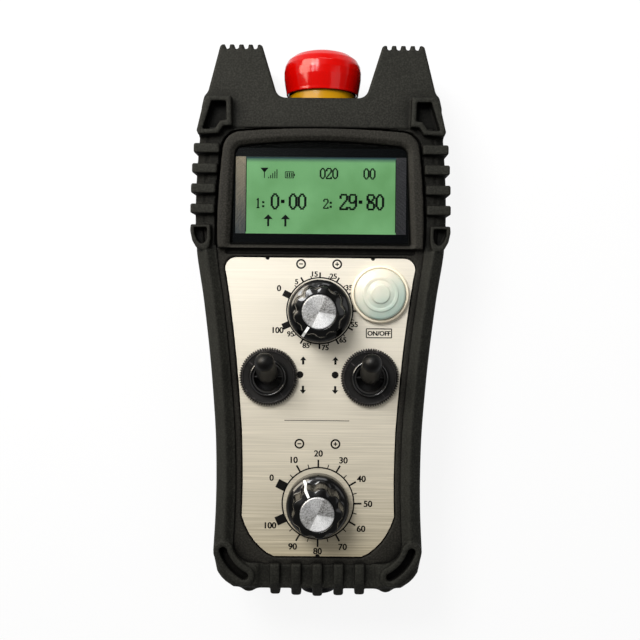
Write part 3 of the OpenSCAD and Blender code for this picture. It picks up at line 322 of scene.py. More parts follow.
@dataclass(frozen=True)
class SpunMetal:
    """Turned aluminium with fine rings, a radial sheen and painted highlights: bright and dark wedge shapes and fine
    streaks round its middle.
    """

    name: str = "spun_aluminium"
    dark: str = "2c2a26"
    light: str = "ffffff"
    ring_mm: float = 0.16
    rays: float = 31.0
    wedges: Line = ((-180, 0.26), (-140, 0.22), (-118, 0.32), (-112, 0.72), (-62, 0.85), (-28, 0.6), (-14, 0.56),
                    (-7, 0.22), (30, 0.16), (64, 0.19), (71, 0.4), (104, 0.44), (128, 0.37), (150, 0.32),
                    (180, 0.26))

    def material(self) -> bpy.types.Material:
        """Build the material."""
        graph = Graph(self.name)
        x, y = graph.axis(0), graph.axis(1)
        radius = graph.math("SQRT", graph.math("ADD", graph.times(x, x), graph.times(y, y)))
        angle = graph.math("ARCTAN2", y, x)
        # Painted highlights: a brightness for each angle round the middle, from the listed stops.
        ramp = graph.node("ValToRGB", {0: graph.spread(angle, (-math.pi, math.pi))})
        stops = ramp.color_ramp.elements
        for place, (degrees, bright) in enumerate(self.wedges):
            share = degrees / 360 + 0.5
            stop = stops[place] if place < 2 else stops.new(share)
            stop.position, stop.color = share, (bright, bright, bright, 1.0)
        # Fine painted radial streaks of light.
        fine = graph.times(graph.math("SINE", graph.times(angle, self.rays)), 0.03)
        speck = graph.spread(graph.math("ADD", graph.noise(0.2, 1.0), graph.noise(0.5, 2.0)), (0.75, 1.25),
                             (-0.16, 0.16))
        share = graph.math("ADD", graph.math("ADD", ramp.outputs[0], fine), speck)
        rings = graph.math("SINE", graph.times(radius, 2 * math.pi / (self.ring_mm * MM)))
        return graph.set(Base_Color=graph.blend(graph.spread(share), linear(self.dark), linear(self.light)),
                         Metallic=0.35, Roughness=graph.spread(rings, (-1.0, 1.0), (0.26, 0.38)), Anisotropic=0.7,
                         Tangent=graph.node("Tangent", direction_type="RADIAL", axis="Z").outputs[0],
                         Normal=graph.bump(rings, 0.004))


@dataclass(frozen=True)
class ClearPane:
    """A clear pane that only shines."""

    name: str = "clear_pane"
    tint: str = "d8dcdc"
    face: str = "0a0b0c"
    shine: float = 0.05

    def material(self) -> bpy.types.Material:
        """Build the material."""
        graph = Graph(self.name)
        clear = graph.node("BsdfTransparent", {"Color": linear(self.tint)})
        facing = graph.node("LayerWeight", {"Blend": 0.12}).outputs["Fresnel"]
        front = graph.math("SUBTRACT", 1.0, graph.node("NewGeometry").outputs["Backfacing"])
        graph.mix_shaders(graph.times(graph.math("ADD", facing, self.shine), front), clear, graph.shader)
        return graph.set(Base_Color=linear(self.face), Specular_IOR_Level=0.5,
                         Roughness=graph.swing(graph.noise(9.0, 3.0), 0.03, 0.08))


@dataclass(frozen=True)
class LitPanel:
    """The lit green of the display, with a shaded upper edge."""

    name: str = "lit_display"
    colour: str = "75a86b"
    pale: str = "8abf82"
    shade: str = "3b4a55"
    dots: str = "4f8a5a"
    strength: float = 1.0
    y_low: float = 32.4
    y_high: float = 61.0

    def material(self) -> bpy.types.Material:
        """Build the material."""
        graph = Graph(self.name)
        top = graph.spread(graph.along(self.y_low, self.y_high), (0.9, 0.957))
        body = graph.blend(graph.swing(graph.noise(14.0, 2.0), 0.0, 1.0), linear(self.colour), linear(self.pale))
        glow = graph.blend(graph.swing(graph.noise(0.25, 1.0), 0.0, 0.14),
                           graph.blend(top, body, linear(self.shade)), linear(self.dots))
        return graph.set(Base_Color=glow, Roughness=0.4, Specular_IOR_Level=0.2, Emission_Color=glow,
                         Emission_Strength=self.strength)


@dataclass(frozen=True)
class BrushedMetal:
    """Plain brushed sheet metal with fine lines along one axis."""

    name: str
    colour: str
    roughness: float = 0.35
    stretch: Place = (1.0, 0.03, 1.0)

    def material(self) -> bpy.types.Material:
        """Build the material."""
        graph = Graph(self.name)
        lines = graph.noise(0.2, 2.0, self.stretch)
        colour = graph.blend(graph.swing(lines, 0.0, 1.0), linear(self.colour, 0.75), linear(self.colour))
        return graph.set(Base_Color=colour, Metallic=0.9, Normal=graph.bump(lines, 0.004),
                         Roughness=graph.swing(lines, self.roughness - 0.06, self.roughness + 0.08))


@dataclass(frozen=True)
class ScreenStrips:
    """Sheet metal beside the display, with a painted reflection running grey to tan on the left and painted shade on
    the right.
    """

    name: str = "screen_strips"
    upper: str = "c4ab90"
    lower: str = "5e5f62"
    right: str = "4e484c"
    y_low: float = 32.0
    y_high: float = 60.0

    def material(self) -> bpy.types.Material:
        """Build the material."""
        graph = Graph(self.name)
        grain = graph.noise(0.6, 2.0, (1.0, 0.1, 1.0))
        # Painted reflection: the left strip runs from grey below to tan above.
        share = graph.math("ADD", graph.along(self.y_low, self.y_high), graph.swing(grain, -0.12, 0.12))
        left = graph.blend(graph.spread(share), linear(self.lower), linear(self.upper))
        # Painted shade: the right strip takes the dark colour.
        side = graph.spread(graph.axis(0), (-MM, MM))
        return graph.set(Base_Color=graph.blend(side, left, linear(self.right)), Metallic=0.1,
                         Roughness=graph.swing(grain, 0.3, 0.42), Normal=graph.bump(grain, 0.006))


@dataclass(frozen=True)
class SoftCap:
    """A translucent aqua cap with a painted reflection of warm light: cream on the side toward the light, aqua away
    from it.
    """

    name: str = "cap_aqua"
    cream: str = "dcd3c0"
    aqua: str = "a2b6ab"
    reach: float = 7.5
    toward: Point = (0.6, 0.8)

    def material(self) -> bpy.types.Material:
        """Build the material."""
        graph = Graph(self.name)
        x, y = (graph.times(graph.axis(i), self.toward[i]) for i in (0, 1))
        # Painted reflection: the cap turns cream toward the upper left and stays aqua away from it.
        lit = graph.spread(graph.math("SUBTRACT", y, x), (-self.reach * MM, self.reach * MM))
        share = graph.math("ADD", lit, graph.swing(graph.noise(6.0, 3.0), -0.15, 0.15))
        fine = graph.noise(0.4, 2.0)
        return graph.set(Base_Color=graph.blend(graph.spread(share), linear(self.aqua), linear(self.cream)),
                         Roughness=graph.swing(fine, 0.36, 0.46), Specular_IOR_Level=0.4, Coat_Weight=0.08,
                         Coat_Roughness=0.2, Subsurface_Weight=0.3, Subsurface_Radius=(0.003, 0.004, 0.0035),
                         Normal=graph.bump(fine, 0.004))


@dataclass(frozen=True)
class Palette:
    """Every finish of the unit, made once."""

    # Boot and housing: painted light on open faces that look up and left, and painted shade in recesses.
    boot: Moulded = Moulded("boot_rubber", "191916", 0.7, 0.07, depth_mm=0.06, mottle=0.1, wear=0.2,
                            specular=0.06, fleck=0.36, dust=0.7, hollow=0.9)
    shell: Moulded = Moulded("housing_plastic", "1a1916", 0.62, 0.08, depth_mm=0.04, mottle=0.1, wear=0.12,
                             specular=0.06, fleck=0.42, dust=1.2, hollow=0.92)
    knob: Moulded = Moulded("knob_gloss", "030303", 0.12, 0.03, grain_mm=1.2, depth_mm=0.003, mottle=0.2,
                            specular=0.3, coat=0.05)
    # The nut's pale edge tone is a painted glint on its teeth, and it gets painted shade in recesses.
    nut: Moulded = Moulded("black_nut", "0b0a0a", 0.45, 0.06, grain_mm=0.25, depth_mm=0.012, mottle=0.2,
                           wear=0.9, worn=22.0, specular=0.25, hollow=0.6)
    gloss: Moulded = Moulded("black_gloss", "0a0a0a", 0.2, 0.04, grain_mm=0.4, depth_mm=0.004, mottle=0.2,
                             coat=0.5)
    sleeve: Moulded = Moulded("sleeve_rubber", "030303", 0.42, specular=0.14)
    beige: Moulded = Moulded("ring_beige", "ebe0c8", 0.42, mottle=0.06, specular=0.25)
    aqua: SoftCap = SoftCap()
    red: Moulded = Moulded("stop_red", "b60300", 0.14, 0.02, grain_mm=1.0, depth_mm=0.003, mottle=0.05,
                           specular=0.16, coat=0.08)
    yellow: Moulded = Moulded("collar_yellow", "aa7a00", 0.4, grain_mm=0.4, depth_mm=0.005, mottle=0.06,
                              specular=0.1, coat=0.05)
    ink: Moulded = Moulded("black_ink", "0a0908", 0.5, grain_mm=0.2, depth_mm=0.002, specular=0.1)
    white_ink: Moulded = Moulded("white_ink", "f2f2ee", 0.5, depth_mm=0.002, mottle=0.03)
    mask: Moulded = Moulded("window_mask", "07080a", 0.3, 0.04, grain_mm=0.4, depth_mm=0.002, mottle=0.2,
                            specular=0.08)
    digit: Moulded = Moulded("display_digit", "0c160f", 0.5, depth_mm=0.001, mottle=0.1, specular=0.2)
    plug: Moulded = Moulded("plug_rubber", "0a0b0d", 0.6, 0.06, depth_mm=0.008, specular=0.12)
    dark: Moulded = Moulded("dark_inside", "0c0c0c", specular=0.3)
    plate: BrushedPlate = BrushedPlate()
    spun: SpunMetal = SpunMetal()
    pane: ClearPane = ClearPane()
    panel: LitPanel = LitPanel()
    strips: ScreenStrips = ScreenStrips()
    steel: BrushedMetal = BrushedMetal("steel", "b8bac0")
    board: Moulded = Moulded("board_green", "1f5b38", 0.35, grain_mm=0.4, mottle=0.12)
    ribbon: Moulded = Moulded("ribbon_amber", "b98a3a", 0.35, grain_mm=0.4, mottle=0.1)
    wrap: Moulded = Moulded("battery_wrap", "3f6fa8", 0.3, grain_mm=0.6, depth_mm=0.01, mottle=0.1)
    foam: Moulded = Moulded("foam_grey", "4a4a4a", 0.85, grain_mm=0.5, depth_mm=0.08)


class Paints:
    """Materials by finish, each built on first use."""

    def __init__(self) -> None:
        """Start with nothing built."""
        self.palette = Palette()
        self.made: dict[str, bpy.types.Material] = {}

    def get(self, name: str) -> bpy.types.Material:
        """Return the material of one of the palette's finishes."""
        if name not in self.made:
            self.made[name] = getattr(self.palette, name).material()
        return self.made[name]

    def coat(self, solid: bpy.types.Object, name: str) -> None:
        """Give one of the frame's solids a finish."""
        solid.data.materials.clear()
        solid.data.materials.append(self.get(name))


# Mesh tools


@dataclass(frozen=True)
class Piece:
    """What a piece is called, its finish, what carries it and which solid it stands for."""

    name: str
    finish: str
    body: Body
    slot: str
    node: str = ""
    sharp_deg: float = 60.0

    def dressed(self, mesh: bpy.types.Mesh, paints: Paints, origin: Sequence[float] = (0.0, 0.0, 0.0)
                ) -> bpy.types.Object:
        """Turn a mesh into the piece, at its origin in millimetres.

        Args:
            mesh: The mesh, in metres from the piece's own origin.
            paints: The unit's materials.
            origin: The piece's origin in the row frame, in millimetres.

        Returns:
            The new object.
        """
        mesh.materials.append(paints.get(self.finish))
        made = bpy.data.objects.new(self.name, mesh)
        made.location = Vector(origin) * MM
        bpy.context.scene.collection.objects.link(made)
        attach(made, self.body.value)
        if self.node:
            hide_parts(self.node)
        return made

    def shaded(self, mesh: bpy.types.Mesh, paints: Paints, origin: Sequence[float] = (0.0, 0.0, 0.0)
               ) -> bpy.types.Object:
        """Turn a mesh into the piece as above, with its faces turned outward and shaded smooth."""
        mesh.validate()
        work = bmesh.new()
        work.from_mesh(mesh)
        bmesh.ops.recalc_face_normals(work, faces=work.faces)
        work.to_mesh(mesh)
        work.free()
        mesh.shade_smooth()
        mesh.set_sharp_from_angle(angle=math.radians(self.sharp_deg))
        return self.dressed(mesh, paints, origin)

    def built(self, points: Iterable[Sequence[float]], faces: Iterable[Sequence[int]], paints: Paints,
              origin: Sequence[float]) -> bpy.types.Object:
        """Make the piece from points in millimetres and faces by point number, and return it."""
        mesh = bpy.data.meshes.new(self.name)
        mesh.from_pydata([tuple(float(c) * MM for c in p) for p in points], [], [tuple(f) for f in faces])
        return self.shaded(mesh, paints, origin)

    def turned(self, profile: Sequence[Point], sides: int, paints: Paints, origin: Sequence[float],
               swell: Callable[[float, float, float], float] | None = None,
               move: Callable[[Place], Sequence[float]] | None = None) -> bpy.types.Object:
        """Make the piece on a lathe.

        Args:
            profile: Radius and height of each ring.
            sides: How many sides a ring has.
            paints: The unit's materials.
            origin: The piece's origin in the row frame, in millimetres.
            swell: The radius to use instead, from the radius, height and angle.
            move: Where a point goes after the turning.

        Returns:
            The new object.
        """
        points, faces = lathe(profile, sides, swell)
        return self.built([move(p) for p in points] if move else points, faces, paints, origin)


def fillet(points: Sequence[Point], radius: float, steps: int = 4) -> list[Point]:
    """Round the inner corners of an open line.

    Args:
        points: The line's points.
        radius: The rounding's radius, cut down where a side is short.
        steps: How many sides each rounding has.

    Returns:
        The rounded line.
    """
    made = [points[0]]
    for before, corner, after in zip(points, points[1:], points[2:]):
        start, mid, end = Vector(before), Vector(corner), Vector(after)
        to_start, to_end = start - mid, end - mid
        if to_start.length < 1e-6 or to_end.length < 1e-6:
            continue
        half = to_start.angle(to_end) / 2
        if half > math.pi / 2 - 0.03:
            made.append(corner)
            continue
        reach = min(radius / math.tan(half), to_start.length * 0.45, to_end.length * 0.45)
        first = mid + to_start.normalized() * reach
        last = mid + to_end.normalized() * reach
        for i in range(steps + 1):
            t = i / steps
            bend = first * (1 - t) ** 2 + mid * 2 * t * (1 - t) + last * t * t
            made.append((bend.x, bend.y))
    made.append(points[-1])
    return made


def lathe(profile: Sequence[Point], sides: int = 96,
          swell: Callable[[float, float, float], float] | None = None
          ) -> tuple[list[tuple[float, float, float]], list[tuple[int, ...]]]:
    """Turn a profile round the Z axis.

    Args:
        profile: Radius and height of each ring; a radius of 0 closes an end.
        sides: How many sides a ring has.
        swell: The radius to use instead, from the radius, height and angle.

    Returns:
        Points and faces.
    """
    points: list[tuple[float, float, float]] = []
    rings: list[list[int]] = []
    for radius, height in profile:
        if radius <= 1e-6:
            points.append((0.0, 0.0, height))
            rings.append([len(points) - 1] * sides)
            continue
        first = len(points)
        for i in range(sides):
            angle = 2 * math.pi * i / sides
            r = swell(radius, height, angle) if swell else radius
            points.append((r * math.cos(angle), r * math.sin(angle), height))
        rings.append(list(range(first, first + sides)))
    faces: list[tuple[int, ...]] = []
    for low, high in zip(rings, rings[1:]):
        for i in range(sides):
            j = (i + 1) % sides
            face = list(dict.fromkeys((low[i], low[j], high[j], high[i])))
            if len(face) > 2:
                faces.append(tuple(face))
    return points, faces


def endwise(point: Place) -> Place:
    """Turn a point made round the Z axis so that the axis points along +Y."""
    return (point[0], point[2], -point[1])


class Plan:
    """A level grid of sample points, in millimetres, on which outlines become distances."""

    def __init__(self, low: Point, high: Point, step: float) -> None:
        """Lay the grid out."""
        self.step = step
        self.x = np.arange(low[0], high[0] + step, step, dtype=np.float32)
        self.y = np.arange(low[1], high[1] + step, step, dtype=np.float32)
        self.across, self.along = np.meshgrid(self.x, self.y, indexing="ij")

    def outline(self, points: Sequence[Point], grow: float = 0.0) -> Array:
        """Measure the distance to a closed outline.

        Args:
            points: The outline's corners.
            grow: How far outside the corners the outline lies, which rounds them.

        Returns:
            The distance, negative inside.
        """
        nearest = np.full(self.across.shape, 1e9, np.float32)
        inside = np.zeros(self.across.shape, bool)
        for (ax, ay), (bx, by) in zip(points, list(points[1:]) + [points[0]]):
            dx, dy = bx - ax, by - ay
            px, py = self.across - ax, self.along - ay
            t = np.clip((px * dx + py * dy) / max(dx * dx + dy * dy, 1e-9), 0, 1)
            nearest = np.minimum(nearest, (px - dx * t) ** 2 + (py - dy * t) ** 2)
            if ay != by:
                inside ^= ((ay > self.along) != (by > self.along)) & (px < dx * py / dy)
        return np.where(inside, -np.sqrt(nearest), np.sqrt(nearest)) - grow

    def disc(self, x: float, y: float, radius: float) -> Array:
        """Measure the distance to a circle, negative inside."""
        return np.hypot(self.across - x, self.along - y) - radius

    def block(self, x: Point, y: Point, rounding: float = 0.0) -> Array:
        """Measure the distance to an upright rectangle with round corners, negative inside."""
        dx = np.abs(self.across - (x[0] + x[1]) / 2) - (x[1] - x[0]) / 2 + rounding
        dy = np.abs(self.along - (y[0] + y[1]) / 2) - (y[1] - y[0]) / 2 + rounding
        return np.hypot(np.maximum(dx, 0), np.maximum(dy, 0)) + np.minimum(np.maximum(dx, dy), 0) - rounding

    def pair(self, points: Sequence[Point], grow: float = 0.0) -> Array:
        """Measure the distance to an outline and its mirror image, negative inside."""
        return np.minimum(self.outline(points, grow), self.outline([(-x, y) for x, y in points], grow))


def soft_min(first: Array, second: Array, radius: float) -> Array:
    """Join two distances with a rounded inner corner and return the result."""
    share = np.clip(0.5 + 0.5 * (second - first) / radius, 0, 1)
    return second + (first - second) * share - radius * share * (1 - share)


def soft_max(first: Array, second: Array, radius: float) -> Array:
    """Keep what two distances share, with a rounded outer corner, and return the result."""
    return -soft_min(-first, -second, radius)


def rise(value: Array, low: float, high: float) -> Array:
    """Ease from 0 at one value to 1 at another and return the share."""
    t = np.clip((value - low) / (high - low), 0, 1)
    return t * t * (3 - 2 * t)


def smooth(height: Array, passes: int) -> Array:
    """Blur a relief a little, as a mould's rounded edges would, and return it."""
    for _ in range(passes):
        for axis in (0, 1):
            ahead, behind = np.roll(height, -1, axis), np.roll(height, 1, axis)
            height = height * 0.5 + (ahead + behind) * 0.25
    return height


def steepness(height: Array, step: float) -> Array:
    """Return how much longer a relief's slope is than its level run."""
    gx, gy = np.gradient(height, step)
    return np.sqrt(1 + gx * gx + gy * gy)


def skin(name: str, field: Array, plan: Plan, z: Array) -> bpy.types.Mesh:
    """Draw the surface where a field of distances is zero.

    Args:
        name: The mesh's name.
        field: Distances on the grid, negative inside.
        plan: The grid seen from above.
        z: The grid's heights.

    Returns:
        A mesh of quads, in metres.
    """
    step = plan.step
    inside = field < 0
    nx, ny, nz = (n - 1 for n in field.shape)
    count = np.zeros((nx, ny, nz), np.int8)
    for i in (0, 1):
        for j in (0, 1):
            for k in (0, 1):
                count += inside[i:nx + i, j:ny + j, k:nz + k]
    cells = np.argwhere((count > 0) & (count < 8))
    total = np.zeros((len(cells), 3))
    hits = np.zeros(len(cells))
    corner = np.array([(i, j, k) for i in (0, 1) for j in (0, 1) for k in (0, 1)])
    for a in range(8):
        for b in range(a + 1, 8):
            if np.abs(corner[a] - corner[b]).sum() != 1:
                continue
            pa, pb = cells + corner[a], cells + corner[b]
            va = field[pa[:, 0], pa[:, 1], pa[:, 2]]
            vb = field[pb[:, 0], pb[:, 1], pb[:, 2]]
            cut = (va < 0) != (vb < 0)
            t = np.where(cut, va / np.where(cut, va - vb, 1), 0)[:, None]
            total += np.where(cut[:, None], corner[a] + (corner[b] - corner[a]) * t, 0)
            hits += cut
    start = np.array([plan.x[0], plan.y[0], z[0]])
    points = (start + (cells + total / hits[:, None]) * step) * MM
    number = np.full((nx, ny, nz), -1, np.int32)
    number[cells[:, 0], cells[:, 1], cells[:, 2]] = np.arange(len(cells))
    quads = []
    for axis in range(3):
        near = [slice(1, n) for n in (nx, ny, nz)]
        near[axis] = slice(0, (nx, ny, nz)[axis])
        far = list(near)
        far[axis] = slice(1, (nx, ny, nz)[axis] + 1)
        first, last = inside[tuple(near)], inside[tuple(far)]
        edges = np.argwhere(first != last)
        out = first[edges[:, 0], edges[:, 1], edges[:, 2]]
        base = edges + np.array([0 if a == axis else 1 for a in range(3)])
        u, v = [a for a in range(3) if a != axis]
        if axis == 1:
            u, v = v, u
        ring = []
        for du, dv in ((0, 0), (1, 0), (1, 1), (0, 1)):
            cell = base.copy()
            cell[:, u] -= du
            cell[:, v] -= dv
            ring.append(number[cell[:, 0], cell[:, 1], cell[:, 2]])
        quad = np.stack(ring, 1)
        quads.append(np.where(out[:, None], quad, quad[:, ::-1]))
    faces = np.concatenate(quads)
    faces = faces[(faces >= 0).all(1)]
    mesh = bpy.data.meshes.new(name)
    mesh.vertices.add(len(points))
    mesh.vertices.foreach_set("co", points.astype(np.float32).ravel())
    mesh.loops.add(faces.size)
    mesh.loops.foreach_set("vertex_index", faces.ravel().astype(np.int32))
    mesh.polygons.add(len(faces))
    mesh.polygons.foreach_set("loop_start", np.arange(0, faces.size, 4, dtype=np.int32))
    mesh.update(calc_edges=True)
    return mesh


class Print:
    """Thin printed marks, gathered into one mesh."""

    def __init__(self, height: float, thickness: float = 0.03) -> None:
        """Start an empty print that lies at a height, in millimetres."""
        self.height = height
        self.thickness = thickness
        self.work = bmesh.new()

    def shape(self, corners: Sequence[Point]) -> None:
        """Add a filled outline."""
        low, top = ([self.work.verts.new((x * MM, y * MM, z * MM)) for x, y in corners]
                    for z in (self.height, self.height + self.thickness))
        self.work.faces.new(top)
        for i in range(len(corners)):
            j = (i + 1) % len(corners)
            self.work.faces.new((low[i], low[j], top[j], top[i]))

    def bar(self, start: Point, end: Point, width: float) -> None:
        """Add a straight line."""
        a, b = Vector(start), Vector(end)
        side = (b - a).normalized().orthogonal() * width / 2
        self.shape([tuple(a + side), tuple(a - side), tuple(b - side), tuple(b + side)])

    def box(self, x: Point, y: Point, width: float) -> None:
        """Add the four lines of an upright rectangle."""
        for i in (0, 1):
            self.bar((x[0], y[i]), (x[1], y[i]), width)
            self.bar((x[i], y[0]), (x[i], y[1]), width)

    def disc(self, centre: Point, radius: float, sides: int = 32) -> None:
        """Add a filled circle."""
        self.shape(arc(centre, radius, 0, 360, sides)[:-1])

    def ring(self, centre: Point, radius: float, width: float, sides: int = 96) -> None:
        """Add a circle's line."""
        near, far = (arc(centre, radius + half, 0, 360, sides) for half in (-width / 2, width / 2))
        for i in range(sides):
            self.shape([near[i], far[i], far[i + 1], near[i + 1]])

    def figures(self, text: str, centre: Point, size: float, weight: float = 0.045, bold: float = 0.06) -> None:
        """Add plain figures round a middle point, drawn twice, side by side, to look bolder.

        Args:
            text: The figures.
            centre: Their middle.
            size: Their height.
            weight: How much fatter than the plain ones they are.
            bold: How far to either side of the middle each drawing lies.
        """
        curve = bpy.data.curves.new("figures", "FONT")
        curve.body = text
        curve.size = size * MM / 0.7
        curve.align_x = "CENTER"
        curve.offset = weight * MM
        maker = bpy.data.objects.new("figures", curve)
        bpy.context.scene.collection.objects.link(maker)
        bpy.context.view_layer.update()
        for side in SIDES:
            mesh = maker.to_mesh().copy()
            mesh.transform(Matrix.Translation(Vector((centre[0] + side * bold, centre[1] - size / 2,
                                                      self.height + self.thickness)) * MM))
            self.work.from_mesh(mesh)
            maker.to_mesh_clear()
            bpy.data.meshes.remove(mesh)
        bpy.data.objects.remove(maker)
        bpy.data.curves.remove(curve)

    def finish(self, piece: Piece, paints: Paints) -> None:
        """Turn the marks into a piece."""
        mesh = bpy.data.meshes.new(piece.name)
        self.work.to_mesh(mesh)
        self.work.free()
        piece.dressed(mesh, paints)


# Places and levels


def corners(node: str) -> tuple[Vector, Vector]:
    """Return the lowest and highest corners of a frame node, in millimetres."""
    low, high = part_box(node)
    return low / MM, high / MM


def middle_of(node: str) -> Vector:
    """Return the middle of a frame node's box, in millimetres."""
    low, high = corners(node)
    return (low + high) / 2


def seat_of(node: str, axis: int = 2) -> Vector:
    """Return the middle of the lower side of a frame node's box along an axis, in millimetres."""
    place = middle_of(node)
    place[axis] = corners(node)[0][axis]
    return place


def mirrored(right: Sequence[Point]) -> list[Point]:
    """Close a right-hand half outline with its mirror image and return it."""
    return list(right) + [(-x, y) for x, y in reversed(right[1:-1])]


@dataclass(frozen=True)
class Layout:
    """Places and levels that the pieces share, taken from the frame."""

    z_plate: float
    z_face: float
    z_hood: float
    z_panel: float
    z_front_low: float
    y_low: float
    y_high: float
    y_tip: float
    y_plate_low: float
    y_plate_top: float
    y_hood_low: float
    y_hood_top: float
    y_window_low: float
    y_window_top: float
    half_width: float = 46.0021
    rail_width: float = 7.3
    wall: float = 3.2
    back: float = 2.5
    visor_rise: float = 0.4
    visor_slope: float = 7.0
    end_drop: float = 1.6
    plate_inset: float = 9.6
    plate_sink: float = 0.6
    panel_depth: float = 2.4
    hood_rims: Point = (1.8, 5.2)
    plate_bend: Point = (11.7, 14.4)
    plate_corner: Line = ((1, 0), (0.78, 0.085), (0.57, 0.225), (0.4, 0.37), (0.26, 0.525), (0.11, 0.76), (0, 1))
    corner_share: Line = ((0.46, 0), (0.655, 0.002), (0.72, 0.0135), (0.755, 0.0225), (0.785, 0.034))
    side_share: Line = (
        (0.074, 0.82), (0.123, 0.808), (0.172, 0.801), (0.221, 0.799), (0.269, 0.802), (0.319, 0.808),
        (0.367, 0.822), (0.416, 0.837), (0.465, 0.855), (0.514, 0.876), (0.563, 0.9), (0.611, 0.924),
        (0.66, 0.96), (0.7, 0.978), (0.735, 0.985), (0.78, 0.985), (0.83, 0.98), (0.878, 0.968),
        (0.915, 0.957), (0.96, 0.942), (1.06, 0.872))

    @classmethod
    def read(cls) -> "Layout":
        """Take the places and levels from the frame's boxes."""
        plate, shell, window = corners("face_plate"), corners("front_shell"), corners("screen_window")
        return cls(z_plate=plate[1].z, z_face=plate[1].z + cls.plate_sink, z_hood=shell[1].z,
                   z_panel=plate[0].z - cls.panel_depth, z_front_low=corners("shell_seal")[1].z,
                   y_low=shell[0].y - cls.wall, y_high=shell[1].y + cls.wall, y_tip=corners("rubber_boot")[1].y,
                   y_plate_low=plate[0].y, y_plate_top=plate[1].y, y_hood_low=window[0].y - cls.hood_rims[0],
                   y_hood_top=window[1].y + cls.hood_rims[1], y_window_low=window[0].y, y_window_top=window[1].y)

    @property
    def core_length(self) -> float:
        """Return the boot's length without its horns."""
        return self.y_high - self.y_low

    @property
    def z_visor(self) -> float:
        """Return the level of the boot's visor."""
        return self.z_face + self.visor_rise

    def half_at(self, y: Array | float) -> Array | float:
        """Return the boot's half width at a place along it, eased between the shares."""
        share = (np.asarray(y, float) - self.y_low) / self.core_length
        spots = [share + offset for offset in (-0.03, -0.015, 0.0, 0.015, 0.03)]
        return sum(np.interp(s, *zip(*self.side_share)) for s in spots) / len(spots) * self.half_width

    def strip_at(self, y: Array | float) -> Array | float:
        """Return the width of the boot's strip beside its opening at a place along it."""
        return np.interp(y, [self.y_plate_top - 6, self.y_hood_low, self.y_hood_top],
                         [self.rail_width, 7.6, 8.9])

    def edge(self, low: float, high: float, count: int, inset: float | None = None) -> list[Point]:
        """Return points up the right-hand side, at an inset or inside the strip.

        Args:
            low: Where they start along the unit.
            high: Where they end.
            count: How many there are.
            inset: How far inside the boot's side they lie, if not the strip's width.

        Returns:
            The points.
        """
        return [(float(self.half_at(y) - (self.strip_at(y) if inset is None else inset)), float(y))
                for y in np.linspace(low, high, count)]

    def core(self) -> list[Point]:
        """Return the boot's outline, drawn past its top end."""
        first, past = self.y_low + self.side_share[0][0] * self.core_length, self.y_high + 8
        corner = [(x * self.half_width, self.y_low + y * self.core_length) for x, y in self.corner_share]
        return mirrored([(0.0, self.y_low), *corner, *self.edge(first, past, 90, 0.0), (0.0, past)])

    def opening(self) -> list[Point]:
        """Return the outline of the boot's opening over the housing's face."""
        low, corner_r = self.y_low + 9.4, 7
        edge = self.edge(low + corner_r, self.y_hood_top - corner_r, 70)
        foot = arc((edge[0][0] - corner_r, low + corner_r), corner_r, -90, -8)
        head = arc((edge[-1][0] - corner_r, self.y_hood_top - 8.2), corner_r, 8, 82)
        return mirrored([(0.0, low), *foot, *edge, *self._arched(head, self.y_hood_top)])

    def plate(self) -> list[Point]:
        """Return the face plate's outline."""
        wide, high = self.plate_bend
        bend, side, corner_r = self.y_plate_low + high, self.y_plate_top - 4, 4
        corner = float(self.half_at(bend)) - self.plate_inset
        foot = [(corner - x * wide, self.y_plate_low + y * high) for x, y in self.plate_corner]
        head = arc((float(self.half_at(side)) - self.plate_inset - corner_r, side), corner_r, 0, 90)
        return mirrored([(0.0, self.y_plate_low), *foot, *self.edge(bend + 4, side - 4, 40, self.plate_inset),
                         *head, (0.0, self.y_plate_top)])

    def window(self) -> list[Point]:
        """Return the display window's outline, with its arched upper edge."""
        low, side = self.y_window_low, self.y_window_top - 4.7
        reach = [float(self.half_at(y) - self.strip_at(y)) - 5.3 for y in (low, side)]
        head = arc((reach[1] - 3, side), 3, 0, 76)
        return mirrored([(0.0, low), (reach[0], low), *self._arched(head, self.y_window_top)])

    @staticmethod
    def _arched(corner: list[Point], top: float) -> list[Point]:
        """Carry a round corner on along a shallow arch to the middle and return the points."""
        x, y = corner[-1]
        return corner + [(x * (1 - t), top - (top - y) * (1 - t) ** 2) for t in np.linspace(0.08, 1, 14)]


def arc(centre: Point, radius: float, start: float, end: float, steps: int = 10) -> list[Point]:
    """Return points on a circle from one angle to another, in degrees."""
    turns = [math.radians(start + (end - start) * i / steps) for i in range(steps + 1)]
    return [(centre[0] + radius * math.cos(t), centre[1] + radius * math.sin(t)) for t in turns]


# The rubber boot


